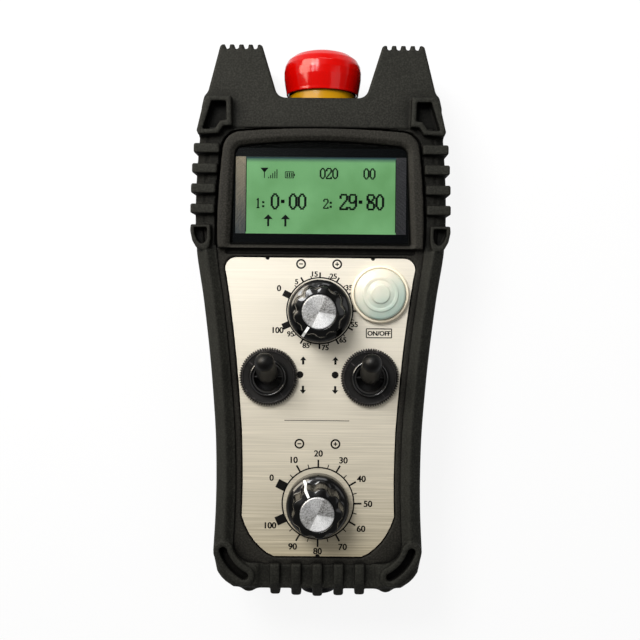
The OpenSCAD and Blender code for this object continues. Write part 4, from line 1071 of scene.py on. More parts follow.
@dataclass
class Boot:
    """The rubber boot: side rails, two horns, ribs, corner blocks and corner slots."""

    layout: Layout
    paints: Paints
    step: float = 0.4
    crest_rise: float = 3.2
    horn_root_in: float = 15.3
    horn_tip_in: float = 21.7
    horn_tip_out: float = 37.4
    horn_round: float = 1.2
    horn_low: float = 3.0
    notches: int = 4
    notch_pitch: float = 3.4
    notch_r: float = 0.8
    notch_depth: float = 1.7
    toe: tuple[float, float, float] = (24.6, 1.2, 2.6)
    ribs: int = 4
    rib_pitch: float = 7.2
    rib_len: float = 3.5
    rib_first_up: float = 14.0
    rib_rise: float = 2.9
    block_rise: float = 3.0
    pocket_depth: float = 4.4
    end_rib_pitch: float = 7.6
    end_rib_w: float = 3.6
    end_rib_proud: float = 3.9
    slot_centre_x: float = 18.5
    slot_centre_up: float = 19.3
    slot_r: float = 16.0
    slot_w: float = 2.7
    slot_rim: float = 2.3
    slot_arc: Point = (-62, -19)
    bore_gap: float = 0.35
    top_size: Point = (12.6, 13.9)
    top_in: Point = (31.9, 14.5)
    side_size: Point = (7.4, 9.2)
    side_in: Point = (39.1, 3.9)
    grip_middle: float = -18.975
    grip_size: Point = (52.0, 92.0)
    grip_bars: int = 9
    grip_bar_w: float = 5.0
    grip_depth: float = 1.0
    top_block: Line = ((0.69, 1), (0.03, 1), (0, 0.24), (0.24, 0.22), (0.38, 0.03), (0.95, 0), (1, 0.11),
                       (0.81, 0.86))
    top_pocket: Line = ((0.58, 0.87), (0.17, 0.87), (0.15, 0.38), (0.33, 0.36), (0.47, 0.16), (0.83, 0.14))
    side_block: Line = ((0.98, 1), (0.02, 1), (0, 0.4), (0.08, 0.1), (0.25, 0), (0.5, 0), (0.72, 0.12),
                        (0.9, 0.38), (1, 0.75))
    side_pocket: Line = ((0.81, 0.88), (0.19, 0.88), (0.18, 0.55), (0.23, 0.36), (0.36, 0.26), (0.52, 0.27),
                         (0.67, 0.4), (0.78, 0.62))

    def build(self) -> None:
        """Build the boot and let it stand for its solid."""
        lay = self.layout
        plan = Plan((-48, lay.y_low - 5), (48, lay.y_tip + 1), self.step)
        levels = np.arange(-1.0, lay.z_hood + 2.5, self.step, dtype=np.float32)
        mesh = skin("boot", self._field(plan, levels[None, None, :]), plan, levels)
        Piece("boot", "boot", Body.UNIT, "boot_rubber", "rubber_boot").shaded(mesh, self.paints)
        LOG.info("boot: %d faces", len(mesh.polygons))

    def _horn(self, plan: Plan) -> Array:
        """Return the distance to the two horns' outline, with the notches in their tips."""
        lay, soft = self.layout, self.horn_round
        root, middle = lay.y_high - 4, (self.horn_tip_in + self.horn_tip_out) / 2
        right = [(self.horn_root_in - 0.5, root), (float(lay.half_at(root)) - 0.2, root),
                 (self.horn_tip_out, lay.y_tip), (self.horn_tip_in, lay.y_tip)]
        horn = plan.pair([(x - soft * (1 if x > 25 else -1), y - (soft if y > root else 0)) for x, y in right], soft)
        for side in SIDES:
            for i in range(self.notches):
                x = side * (middle + (i - (self.notches - 1) / 2) * self.notch_pitch)
                cut = plan.block((x - self.notch_r, x + self.notch_r),
                                 (lay.y_tip - self.notch_depth, lay.y_tip + 3), self.notch_r)
                horn = soft_max(horn, -cut, 0.3)
        return horn

    def _outline(self, plan: Plan) -> Array:
        """Return the distance to the outline of the boot's case and horns."""
        lay = self.layout
        x, up, radius = self.toe
        core = soft_max(plan.outline(lay.core()), plan.along - lay.y_high, 1.0)
        toes = np.minimum(*(plan.disc(side * x, lay.y_low + up, radius) for side in SIDES))
        return soft_min(soft_min(core, self._horn(plan), 3.0), toes, 2.0)

    def _corner(self, plan: Plan, top: bool, shares: Line) -> Array:
        """Return the distance to a pair of corner blocks, or to what the shares cut from them."""
        lay = self.layout
        wide, high = self.top_size if top else self.side_size
        if top:
            x_in, y_low = self.top_in[0], lay.y_high - self.top_in[1]
        else:
            x_in = self.side_in[0]
            y_low = lay.y_hood_low + self.rib_first_up - self.rib_len / 2 - self.side_in[1] - high
        return plan.pair([(x_in + x * wide, y_low + y * high) for x, y in shares])

    def _side_ribs(self, plan: Plan) -> list[Array]:
        """Return the distances to the pairs of side ribs."""
        lay, ribs = self.layout, []
        for i in range(self.ribs):
            y = lay.y_hood_low + self.rib_first_up + i * self.rib_pitch
            inner, outer = float(lay.half_at(y) - lay.strip_at(y)) + 0.6, float(lay.half_at(y)) + 1.2
            across = ((-outer, -inner), (inner, outer))
            ribs.append(np.minimum(*(plan.block(x, (y - self.rib_len / 2, y + self.rib_len / 2), 0.6)
                                     for x in across)))
        return ribs

    def _end_ribs(self, plan: Plan) -> list[Array]:
        """Return the distances to the ribs of the lower end."""
        low, half = self.layout.y_low, self.end_rib_w / 2
        middles = [(i * self.end_rib_pitch, abs(i) * 0.45 - self.end_rib_proud) for i in (-2, -1, 0, 1, 2)]
        return [plan.block((x - half, x + half), (low + out, low + 10.6), 1.0) for x, out in middles]

    def _relief(self, plan: Plan, depth: Array) -> Array:
        """Return the height of the case's face.

        Args:
            plan: The sample grid.
            depth: How far each sample lies inside the boot's own outline.

        Returns:
            The height at each sample.
        """
        lay = self.layout
        face, visor, crest = lay.z_face, lay.z_visor, lay.z_face + self.crest_rise
        past = np.maximum(plan.along - lay.y_hood_top, 0)
        cover = visor - past * math.tan(math.radians(lay.visor_slope))
        beside = np.interp(depth, [0, 2.8, 3.4], [visor - 1.6, visor - 0.1, visor])
        cover = np.where(plan.along < lay.y_high - 15, np.minimum(cover, beside), cover)
        rail = np.interp(depth, [0, 0.5, 3.7, 4.2, 4.6, 6.6, 7.5],
                         [face - 0.6, face + 0.5, crest - 0.25, crest, crest - 0.45, face + 0.9, face + 0.8])
        corner = np.interp(depth, [0, 0.5, 1.6, 6.5, 11.0], [face, face + 1.2, face + 2.3, face + 2.1, face + 1.2])
        ends = rise(plan.along, lay.y_low + 19, lay.y_low + 12)
        middle = rise(np.abs(plan.across), 22.4, 19.8)
        side = rail * (1 - ends) + corner * ends
        strip = (visor * middle + side * (1 - middle)) * ends + side * (1 - ends)
        below = rise(plan.along, lay.y_hood_low + 0.4, lay.y_hood_low - 0.8)
        return smooth(cover * (1 - below) + strip * below, 2)

    def _field(self, plan: Plan, z: Array) -> Array:
        """Return the boot's field of distances."""
        lay, face = self.layout, self.layout.z_face
        core = plan.outline(lay.core())
        relief = self._relief(plan, -core)
        under = self.horn_low * rise(plan.along, lay.y_high - 0.5, lay.y_high + 1.5)
        top = (z - relief[:, :, None]) / steepness(relief, plan.step)[:, :, None]
        field = rounded(rounded(self._outline(plan)[:, :, None], top, 0.8), under[:, :, None] - z, 2.0)
        rib_top, block_top = face + self.rib_rise, lay.z_visor + self.block_rise
        slots = [self._slot(plan, side) for side in SIDES]
        slope = np.interp(plan.along, [lay.y_low - 4, lay.y_low + 2.2, lay.y_low + 6.0],
                          [face - 2.8, face + 1.7, face + 2.4])[:, :, None]
        for region, height, foot, radius in (
                (self._corner(plan, True, self.top_block), block_top, 6.0, 0.7),
                (self._corner(plan, False, self.side_block), rib_top, 6.0, 0.6),
                *((np.maximum(slot - self.slot_rim, core + 0.5), face + 3.2, 6.0, 0.6) for slot in slots),
                *((rib, rib_top, 5.0, 0.6) for rib in self._side_ribs(plan)),
                *((rib, slope, 4.0, 0.7) for rib in self._end_ribs(plan))):
            field = raised(field, region, z, height, foot, radius)
        shell = np.maximum(core + lay.wall, plan.along - lay.y_high + lay.wall)
        roof = np.where(plan.along < lay.y_hood_top, face, face - lay.end_drop)
        space = np.maximum(np.maximum(shell[:, :, None], lay.back - z), z - roof[:, :, None])
        field = np.maximum(field, -space)
        for region, floor, radius in (
                (plan.outline(lay.opening()), face - lay.end_drop, 0.0),
                (self._corner(plan, True, self.top_pocket), block_top - self.pocket_depth, 0.5),
                (self._corner(plan, False, self.side_pocket), face, 0.4),
                *((slot, face - 1.4, 0.3) for slot in slots)):
            field = sunk(field, region, z, floor, radius)
        for node, y in (("stop_collar", (lay.y_high - 5, lay.y_high + 5)),
                        ("charge_plug", (lay.y_low - 9, lay.y_low + 4))):
            low, high = corners(node)
            field = bored(field, plan, z, (low.z + high.z) / 2, (high.z - low.z) / 2 + self.bore_gap, y)
        return self._back_grip(plan, field, z)

    def _slot(self, plan: Plan, side: int) -> Array:
        """Return the distance to the curved slot of one lower corner."""
        out = (plan.across - side * self.slot_centre_x) * side
        up = plan.along - self.layout.y_low - self.slot_centre_up
        turn = np.radians(np.clip(np.degrees(np.arctan2(up, out)), *self.slot_arc))
        return np.hypot(out - self.slot_r * np.cos(turn), up - self.slot_r * np.sin(turn)) - self.slot_w / 2

    def _back_grip(self, plan: Plan, field: Array, z: Array) -> Array:
        """Sink the grip pad with its bars into the back and return the field."""
        (wide, length), half = self.grip_size, self.grip_bar_w / 2
        low = self.grip_middle - length / 2
        pad = plan.block((-wide / 2, wide / 2), (low, low + length), 3)
        for i in range(self.grip_bars):
            y = self.grip_middle + (i - (self.grip_bars - 1) / 2) * length / self.grip_bars
            pad = np.maximum(pad, -plan.block((-30, 30), (y - half, y + half)))
        return np.maximum(field, -np.maximum(pad[:, :, None], z - self.grip_depth))


def bored(field: Array, plan: Plan, z: Array, middle: float, radius: float, y: Point) -> Array:
    """Drill a level hole along the unit.

    Args:
        field: The field so far.
        plan: The sample grid.
        z: The heights of the samples.
        middle: The height of the hole's axis.
        radius: The hole's radius.
        y: Where it starts and ends along the unit.

    Returns:
        The new field.
    """
    across = np.hypot(plan.across[:, :, None], z - middle) - radius
    along = np.maximum(y[0] - plan.along, plan.along - y[1])[:, :, None]
    return np.maximum(field, -np.maximum(across, along))


def rounded(first: Array, second: Array, radius: float) -> Array:
    """Keep what two distances share, with a true round edge, and return the result."""
    a, b = first + radius, second + radius
    return np.minimum(np.maximum(a, b), 0) + np.hypot(np.maximum(a, 0), np.maximum(b, 0)) - radius


def raised(field: Array, region: Array, z: Array, top: Array | float, foot: float, radius: float) -> Array:
    """Add a block to a field.

    Args:
        field: The field so far.
        region: The distance to the block's outline from above.
        z: The heights of the samples.
        top: The block's top.
        foot: Its underside.
        radius: The rounding of its upper edge.

    Returns:
        The new field.
    """
    block = np.maximum(rounded(region[:, :, None], z - top, radius), foot - z)
    return soft_min(field, block, 0.5)


def sunk(field: Array, region: Array, z: Array, floor: float, radius: float, edge: float = 0.5) -> Array:
    """Cut a recess down to a floor, with a round bottom and a softened mouth, and return the new field."""
    return soft_max(field, -rounded(region[:, :, None], floor - z, radius), edge)


# The housing


@dataclass
class Housing:
    """The front shell: its face, the display hood and the posts inside."""

    layout: Layout
    paints: Paints
    step: float = 0.4
    wall: float = 2.2
    seat: float = 0.1
    plate_gap: float = 0.42
    plate_pocket: float = 0.8
    window_pocket: float = 2.3
    groove_depth: float = 1.3
    ledge_depth: float = 0.9
    ledge_w: float = 1.8
    post_r: float = 3.2
    shaft_hole_r: float = 4.8
    holes: tuple[tuple[str, float], ...] = (("toggle_pin_a", 6.1), ("toggle_pin_b", 6.1), ("power_plunger", 7.15))

    def build(self) -> None:
        """Build the front shell and let it stand for its solid."""
        lay = self.layout
        plan = Plan((-43.5, lay.y_low + 2), (43.5, lay.y_high - 2), self.step)
        levels = np.arange(lay.z_front_low - 1, lay.z_hood + 1.5, self.step, dtype=np.float32)
        mesh = skin("front_housing", self._field(plan, levels[None, None, :]), plan, levels)
        Piece("front_housing", "shell", Body.UNIT, "housing_black", "front_shell", 50).shaded(mesh, self.paints)
        LOG.info("front housing: %d faces", len(mesh.polygons))

    def _field(self, plan: Plan, z: Array) -> Array:
        """Return the front shell's field of distances."""
        lay = self.layout
        outer = np.maximum(plan.outline(lay.core()) + lay.wall, plan.along - lay.y_high + lay.wall)
        opening, window = plan.outline(lay.opening()), plan.outline(lay.window(), self.seat)
        end = np.where(plan.along < lay.y_hood_top, lay.z_face, lay.z_face - lay.end_drop)
        field = np.maximum(np.maximum(outer[:, :, None], z - end[:, :, None]), lay.z_front_low - z)
        bevel = np.interp(window, [0, 0.1, 1.9, 2.1],
                          [lay.z_hood - 1.3, lay.z_hood - 1.2, lay.z_hood - 0.05, lay.z_hood])
        field = raised(field, np.maximum(opening + 0.4, lay.y_hood_low - plan.along), z, bevel[:, :, None],
                       lay.z_face - 1, 0.5)
        groove = np.maximum(np.abs(opening) - 0.45, lay.y_hood_low - plan.along)
        ledge = plan.block((-34, 34), (lay.y_hood_low - self.ledge_w, lay.y_hood_low), 0.4)
        for region, floor, radius, edge in (
                (groove, lay.z_face - self.groove_depth, 0.0, 0.2),
                (window, lay.z_hood - self.window_pocket, 0.0, 0.8),
                (ledge, lay.z_face - self.ledge_depth, 0.2, 0.5),
                (plan.outline(lay.plate(), self.plate_gap), lay.z_plate - self.plate_pocket, 0.0, 0.3)):
            field = sunk(field, region, z, floor, radius, edge)
        field = np.maximum(field, -np.maximum((outer + self.wall)[:, :, None], z - lay.z_panel))
        for x, y in self._posts():
            post = np.maximum(plan.disc(x, y, self.post_r)[:, :, None], lay.z_front_low - z)
            field = np.minimum(field, np.maximum(post, z - lay.z_panel - 1))
        low, high = corners("lcd_frame")
        holes = [plan.block((low.x, high.x), (low.y, high.y))]
        holes += [plan.disc(0, middle_of(cap).y, self.shaft_hole_r) for cap in ("knob_cap_2", "knob_cap_1")]
        holes += [plan.disc(*middle_of(node).xy, radius) for node, radius in self.holes]
        for hole in holes:
            field = np.maximum(field, -np.maximum(hole[:, :, None], lay.z_panel - 2 - z))
        for node, radius, y in (("stop_barrel", 8.1, lay.y_high - 5), ("charge_nut", 5.5, lay.y_low + 5)):
            field = bored(field, plan, z, middle_of(node).z, radius, (y - 4, y + 4))
        return field

    def _posts(self) -> list[Point]:
        """Return the place of each post under the panel."""
        lay, posts = self.layout, []
        for y, inward in ((lay.y_hood_top - 0.3, 3), (lay.y_plate_top - 29.5, 0), (lay.y_plate_low + 6, 0.3)):
            x = float(lay.half_at(y)) - lay.wall - self.wall - 3.5 - inward
            posts += [(side * x, y) for side in SIDES]
        return posts


# The face plate's printing


@dataclass(frozen=True)
class Dial:
    """A printed scale from 0 to 100 round a knob."""

    cap: str
    circle_r: float
    major_r: float
    minor_r: float
    number_r: float
    number_size: float
    number_lag: float
    first: int
    end_r: float
    end_size: float
    block_r: float
    block_w: float
    foot_in: float = 0.0
    foot_value: int = 80
    major_w: float = 0.62
    minor_w: float = 0.34
    line_w: float = 0.5
    block_deg: Point = (154.0, 204.0)
    end_deg: Point = (151.5, 205.0)

    def draw(self, ink: Print) -> None:
        """Draw the scale's arc, ticks, end blocks and numbers."""
        middle = middle_of(self.cap).y

        def at(radius: float, degrees: float) -> Point:
            """Return the point at a radius and an angle."""
            return arc((0.0, middle), radius, degrees, degrees, 1)[0]

        ink.ring((0, middle), self.circle_r, self.line_w)
        for value in range(5, 100, 5):
            reach, width = (self.minor_r, self.minor_w) if value % 10 else (self.major_r, self.major_w)
            ink.bar(at(self.circle_r, 150 - value * 3), at(reach, 150 - value * 3), width)
        for degrees in self.block_deg:
            ink.bar(at(self.circle_r, degrees), at(self.block_r, degrees), self.block_w)
        for value in range(self.first, 100, 10):
            reach = self.number_r - (self.foot_in if value == self.foot_value else 0)
            ink.figures(str(value), at(reach, 150 - value * 3 - self.number_lag), self.number_size)
        for value, degrees in zip((0, 100), self.end_deg):
            ink.figures(str(value), at(self.end_r, degrees), self.end_size)


@dataclass
class FacePlate:
    """The plate's finish and its printed marks."""

    layout: Layout
    paints: Paints
    upper: Dial = Dial("knob_cap_2", circle_r=11.9, major_r=13.8, minor_r=12.9, number_r=13.4, number_size=1.85,
                       number_lag=6, first=5, end_r=16.8, end_size=2.1, block_r=14.6, block_w=2.3)
    lower: Dial = Dial("knob_cap_1", circle_r=12.9, major_r=15.7, minor_r=14.4, number_r=18.0, number_size=2.2,
                       number_lag=0, first=10, end_r=19.1, end_size=2.2, block_r=16.4, block_w=3.2, foot_in=0.8)
    upper_signs_up: float = 16.8
    lower_signs_up: float = 21.4
    dot_r: float = 1.25
    rule: Line = ((-12.4, -15.8), (11.0, -15.8))
    rule_w: float = 0.22
    label_half: Point = (4.55, 1.6)
    label_line: float = 0.36
    label_under: float = 7.95

    def build(self) -> None:
        """Finish the plate and print its marks."""
        self.paints.coat(frame["nodes"]["face_plate"], "plate")
        ink = Print(self.layout.z_plate)
        self.upper.draw(ink)
        self.lower.draw(ink)
        y_1, y_2, y_t = (middle_of(node).y for node in ("knob_cap_1", "knob_cap_2", "toggle_pin_a"))
        for y in (y_2 + self.upper_signs_up, y_1 + self.lower_signs_up):
            for side in SIDES:
                self._sign(ink, (side * 6.5 - 0.4, y), side > 0)
        for side in SIDES:
            ink.disc((side * 6.35 - 0.6, y_t + 0.7), self.dot_r)
            self._arrow(ink, (side * 5.8, y_t + 5.8), 1)
            self._arrow(ink, (side * 5.8, y_t - 4.7), -1)
        ink.bar(*((x, y_t + y) for x, y in self.rule), self.rule_w)
        x, y = middle_of("power_plunger").x - 0.2, y_2 - self.label_under
        wide, high = self.label_half
        ink.box((x - wide, x + wide), (y - high, y + high), self.label_line)
        ink.figures("ON/OFF", (x, y), 1.6)
        ink.finish(Piece("plate_print", "ink", Body.UNIT, "black_plastic"), self.paints)
        LOG.info("face plate: printed")

    @staticmethod
    def _sign(ink: Print, centre: Point, plus: bool) -> None:
        """Draw a minus or plus sign in a circle."""
        (x, y), half, line = centre, 0.7, 0.4
        ink.ring(centre, 1.5, 0.58)
        ink.bar((x - half, y), (x + half, y), line)
        if plus:
            ink.bar((x, y - half), (x, y + half), line)

    @staticmethod
    def _arrow(ink: Print, centre: Point, way: int) -> None:
        """Draw a small arrow up or down."""
        x, y = centre
        ink.shape([(x - way * 1.15, y + way * 0.1), (x + way * 1.15, y + way * 0.1), (x, y + way * 1.5)])
        ink.bar((x, y + 0.1 * way), (x, y - way * 1.4), 0.8)


# The display


@dataclass
class Screen:
    """The window, its black border and what the display shows."""

    layout: Layout
    paints: Paints
    view_half: float = 27.0
    finishes: tuple[tuple[str, str], ...] = (("screen_window", "pane"), ("lcd_glass", "panel"),
                                             ("lcd_frame", "strips"))
    shown: tuple[tuple[str, float, float, float], ...] = (
        ("0.00", -11.4, -2.2, 5.8), ("29.80", 15.0, -2.2, 5.8), ("1:", -21.3, -2.9, 3.6), ("2:", 3.0, -2.9, 3.6),
        ("020", 3.0, 8.0, 4.0), ("00", 17.6, 8.0, 4.0))

    def build(self) -> None:
        """Finish the display's solids and draw what it shows."""
        for node, finish in self.finishes:
            self.paints.coat(frame["nodes"][node], finish)
        self._mask()
        low, high = corners("lcd_glass")
        digits, middle = Print(high.z, 0.02), (low.y + high.y) / 2
        for text, x, y, height in self.shown:
            DotFigures.draw(digits, text, (x, middle + y), height)
        self._icons(digits, middle)
        for x in (-self.view_half, self.view_half):
            digits.bar((x, low.y + 1.2), (x, high.y - 1.2), 0.4)
        digits.finish(Piece("display_figures", "digit", Body.UNIT, "display_green"), self.paints)
        LOG.info("screen: drawn")

    def _mask(self) -> None:
        """Add the black print round the display, under the window."""
        window, lcd = corners("screen_window"), corners("lcd_frame")
        border = Print(window[0].z + 0.05)
        low, left, right = window[0].y + 0.4, lcd[0].x, lcd[1].x
        for x_low, x_high, y_low, y_high in (
                (window[0].x + 0.6, left, low, window[1].y - 4.9), (right, window[1].x - 0.6, low, window[1].y - 4.9),
                (left, right, low, lcd[0].y + 1.2), (left, right, lcd[1].y - 1.2, window[1].y - 2.2)):
            border.shape([(x_low, y_low), (x_high, y_low), (x_high, y_high), (x_low, y_high)])
        border.finish(Piece("window_border", "mask", Body.UNIT, "window_clear"), self.paints)

    @staticmethod
    def _icons(ink: Print, middle: float) -> None:
        """Draw the aerial, signal bars, battery and arrows."""
        aerial, bars, low, high = -20.4, -18.9, middle + 6.3, middle + 8.5
        ink.bar((aerial, middle + 6.2), (aerial, middle + 9.6), 0.32)
        ink.shape([(aerial - 1.5, middle + 9.9), (aerial, middle + 8.1), (aerial + 1.5, middle + 9.9)])
        for i in range(5):
            x = bars + i * 0.75
            ink.bar((x, middle + 6.1), (x, middle + 6.6 + i * 0.68), 0.36)
        ink.box((-12.9, -9.9), (low, high), 0.28)
        for i in range(3):
            ink.bar((-12.2 + i * 0.85, low + 0.3), (-12.2 + i * 0.85, high - 0.3), 0.5)
        ink.bar((-9.6, middle + 7.0), (-9.6, middle + 7.8), 0.4)
        y = middle - 8.6
        for x in (-18.9, -12.7):
            ink.shape([(x - 1.7, y), (x + 1.7, y), (x, y + 1.7)])
            ink.bar((x, y), (x, y - 2.6), 0.75)


class DotFigures:
    """Figures built of small square dots, as on a dot display."""

    ROWS: dict[str, str] = {
        "0": "..xx../.x..x./x....x/x....x/x....x/x....x/x....x/x....x/.x..x./..xx..",
        "1": "..x.../.xx.../..x.../..x.../..x.../..x.../..x.../..x.../..x.../.xxx..",
        "2": ".xxxx./x....x/x....x/.....x/....x./...x../..x.../.x..../x....x/xxxxxx",
        "8": ".xxxx./x....x/x....x/xx..x./.xxx../.x.xx./x....x/x....x/x....x/.xxxx.",
        "9": ".xxxx./x....x/x....x/x....x/x...xx/.xxx.x/.....x/.....x/x...x./.xxx..",
        ".": "....../....../....../....../.xx.../.xx.../....../....../....../......",
        ":": "....../....../....../.xx.../.xx.../....../....../.xx.../.xx.../......"}

    @classmethod
    def draw(cls, ink: Print, text: str, centre: Point, height: float) -> None:
        """Draw figures round a middle point.

        Args:
            ink: The print that takes them.
            text: The figures.
            centre: Their middle.
            height: Their height.
        """
        dot_h, dot_w = height / 10, height / 12.5
        pitch = dot_w * 7
        start = centre[0] - pitch * len(text) / 2
        for place, figure in enumerate(text):
            for row, dots in enumerate(cls.ROWS[figure].split("/")):
                for column, dot in enumerate(dots):
                    if dot == "x":
                        x = start + place * pitch + (column + 0.5) * dot_w
                        y = centre[1] + height / 2 - (row + 0.5) * dot_h
                        ink.bar((x - dot_w * 0.95, y), (x + dot_w * 0.95, y), dot_h * 1.15)


# Knobs, levers and buttons


@dataclass
class SpeedKnob:
    """A glossy knob with wavy flutes, a spun cap and a white pointer line."""

    number: int
    body: Body
    pointer_deg: float
    paints: Paints
    flutes: int = 9
    flute_depth: float = 1.15
    sunk: float = 0.6
    grip: Line = ((7.0, 0.7), (10.9, 0.6), (11.25, 1.3), (11.25, 4.6), (11.1, 5.3), (10.7, 5.95), (10.1, 6.4),
                  (9.4, 6.75), (8.95, 13.7), (8.55, 14.4), (6.3, 15.0), (6.1, 14.8), (5.98, 14.0))
    recess: Point = (0.0, 13.8)
    cap: Line = ((0.0, 15.2), (5.6, 15.22), (5.93, 14.95), (5.93, 13.9))
    cap_under: Point = (0.0, 13.9)
    wave_at: Line = ((6.5, 0), (7.0, 0.9), (9.5, 1.0), (14.2, 0.85), (14.7, 0.5))
    line_from: Point = (6.3, 5.6)
    line_half: float = 0.45
    line_out: Point = (0.05, -0.15)

    def build(self) -> None:
        """Build the knob, its cap and its pointer line."""
        origin = seat_of(f"knob_{self.number}") - Vector((0, 0, self.sunk))
        profile = fillet(self.grip, 0.5, 5)
        Piece(f"speed_knob_{self.number}", "knob", self.body, "knob_black", f"knob_{self.number}").turned(
            [self.recess, *reversed(profile)], 270, self.paints, origin, self._flute)
        Piece(f"spun_cap_{self.number}", "spun", self.body, "cap_aluminium", f"knob_cap_{self.number}", 50).turned(
            [*fillet(self.cap, 0.2, 4), self.cap_under], 128, self.paints, origin)
        self._pointer(profile, origin)
        LOG.info("speed knob %d: built", self.number)

    def _flute(self, radius: float, height: float, angle: float) -> float:
        """Return the radius with the wave of the flutes taken off."""
        wave = 0.5 - 0.5 * math.cos((angle - math.radians(self.pointer_deg)) * self.flutes)
        share = float(np.interp(height, *zip(*self.wave_at)))
        inner = float(np.interp(radius, [6.4, 7.8], [0, 1]))
        return radius - self.flute_depth * share * inner * wave ** 1.4

    def _pointer(self, profile: Sequence[Point], origin: Vector) -> None:
        """Add the white line that runs over the knob's top and side."""
        rows = [(r, z) for r, z in profile if r > self.line_from[0] and z > self.line_from[1]]
        turn = math.radians(self.pointer_deg)
        points = [((r + out) * math.cos(turn) - side * math.sin(turn),
                   (r + out) * math.sin(turn) + side * math.cos(turn), z + out * 0.8)
                  for r, z in rows for side in (-self.line_half, self.line_half) for out in self.line_out]
        last = 4 * (len(rows) - 1)
        faces = []
        for a in range(0, last, 4):
            b = a + 4
            faces += [(a, a + 2, b + 2, b), (a, b, b + 1, a + 1), (a + 2, a + 3, b + 3, b + 2),
                      (a + 1, b + 1, b + 3, a + 3)]
        faces += [(0, 1, 3, 2), (last, last + 2, last + 3, last + 1)]
        Piece(f"pointer_{self.number}", "white_ink", self.body, "cap_aluminium").built(
            points, faces, self.paints, origin)


@dataclass
class Toggle:
    """A lever in a rubber sleeve that stands out of a knurled nut."""

    side: str
    body: Body
    paints: Paints
    teeth: int = 72
    tooth_depth: float = 0.8
    tooth_root: float = 9.3
    lean_deg: float = 22.5
    length: float = 20.4
    tip_r: float = 3.4
    pivot_up: float = 2.5
    flange: Line = ((6.2, 0.0), (10.45, 0.0), (10.45, 1.7), (9.35, 2.75), (9.1, 2.75), (8.95, 2.45), (7.0, 2.45),
                    (6.9, 2.2))
    bore: Line = ((6.2, 2.2), (6.2, 0.0))
    collar: Line = ((6.7, 1.8), (6.72, 3.6), (6.4, 4.75), (6.1, 4.95), (5.75, 4.75), (5.5, 4.2), (5.47, 1.8))
    sleeve: Line = ((2.4, 2.4), (3.3, 2.4), (3.5, 4.0), (3.7, 6.5))
    sleeve_lip: Point = (2.05, 2.5)

    def build(self) -> None:
        """Build the nut, its collar and the sleeve."""
        origin = seat_of(f"toggle_nut_{self.side}")
        Piece(f"knurled_nut_{self.side}", "nut", Body.UNIT, "black_metal", f"toggle_nut_{self.side}", 50).turned(
            [*fillet(self.flange, 0.15, 3), *self.bore], self.teeth * 5, self.paints, origin, self._knurl)
        ring = fillet(self.collar, 0.3, 5)
        Piece(f"toggle_collar_{self.side}", "gloss", Body.UNIT, "black_metal").turned(
            [*ring, ring[0]], 120, self.paints, origin)
        dome = arc((0, self.length - self.tip_r), self.tip_r, 0, 90, 14)
        lean = Matrix.Rotation(-math.radians(self.lean_deg), 3, "X")
        Piece(f"lever_sleeve_{self.side}", "sleeve", self.body, "sleeve_rubber",
              f"toggle_sleeve_{self.side}").turned(
            [self.sleeve_lip, *fillet([*self.sleeve, dome[0]], 0.5, 4), *dome[1:]], 96, self.paints,
            origin + Vector((0, 0, self.pivot_up)), move=lambda point: lean @ Vector(point))
        LOG.info("toggle %s: built", self.side)

    def _knurl(self, radius: float, height: float, angle: float) -> float:
        """Return the radius with the nut's teeth cut in."""
        if radius < self.tooth_root:
            return radius
        notch = max(0.0, math.cos(angle * self.teeth)) ** 0.6
        return radius - self.tooth_depth * notch * min(1.0, (radius - self.tooth_root) / 0.3)


@dataclass
class PowerButton:
    """A pale soft cap in a beige ring."""

    paints: Paints
    rim: Line = ((9.28, 0.0), (10.5, 0.0), (10.5, 1.3), (10.1, 2.1), (9.55, 2.3), (9.28, 2.0))
    crown: Line = ((8.0, 1.75), (9.1, 1.75), (9.2, 2.6), (9.0, 3.3), (8.4, 3.75), (6.6, 4.3), (6.1, 4.68),
                   (5.4, 4.7), (4.9, 4.6), (3.6, 4.95), (3.1, 5.4), (2.6, 5.45), (0.0, 5.58))
    under: Line = ((0.0, 4.3), (5.6, 3.6), (8.0, 2.8), (8.0, 1.75))

    def build(self) -> None:
        """Build the ring and the cap."""
        origin = seat_of("power_ring")
        Piece("button_ring", "beige", Body.UNIT, "ring_beige", "power_ring").turned(
            [*fillet(self.rim, 0.35, 5), self.rim[0]], 160, self.paints, origin)
        Piece("button_cap", "aqua", Body.POWER, "cap_aqua", "power_cap").turned(
            [*fillet(self.crown, 0.3, 5), *self.under], 160, self.paints, origin)
        LOG.info("power button: built")


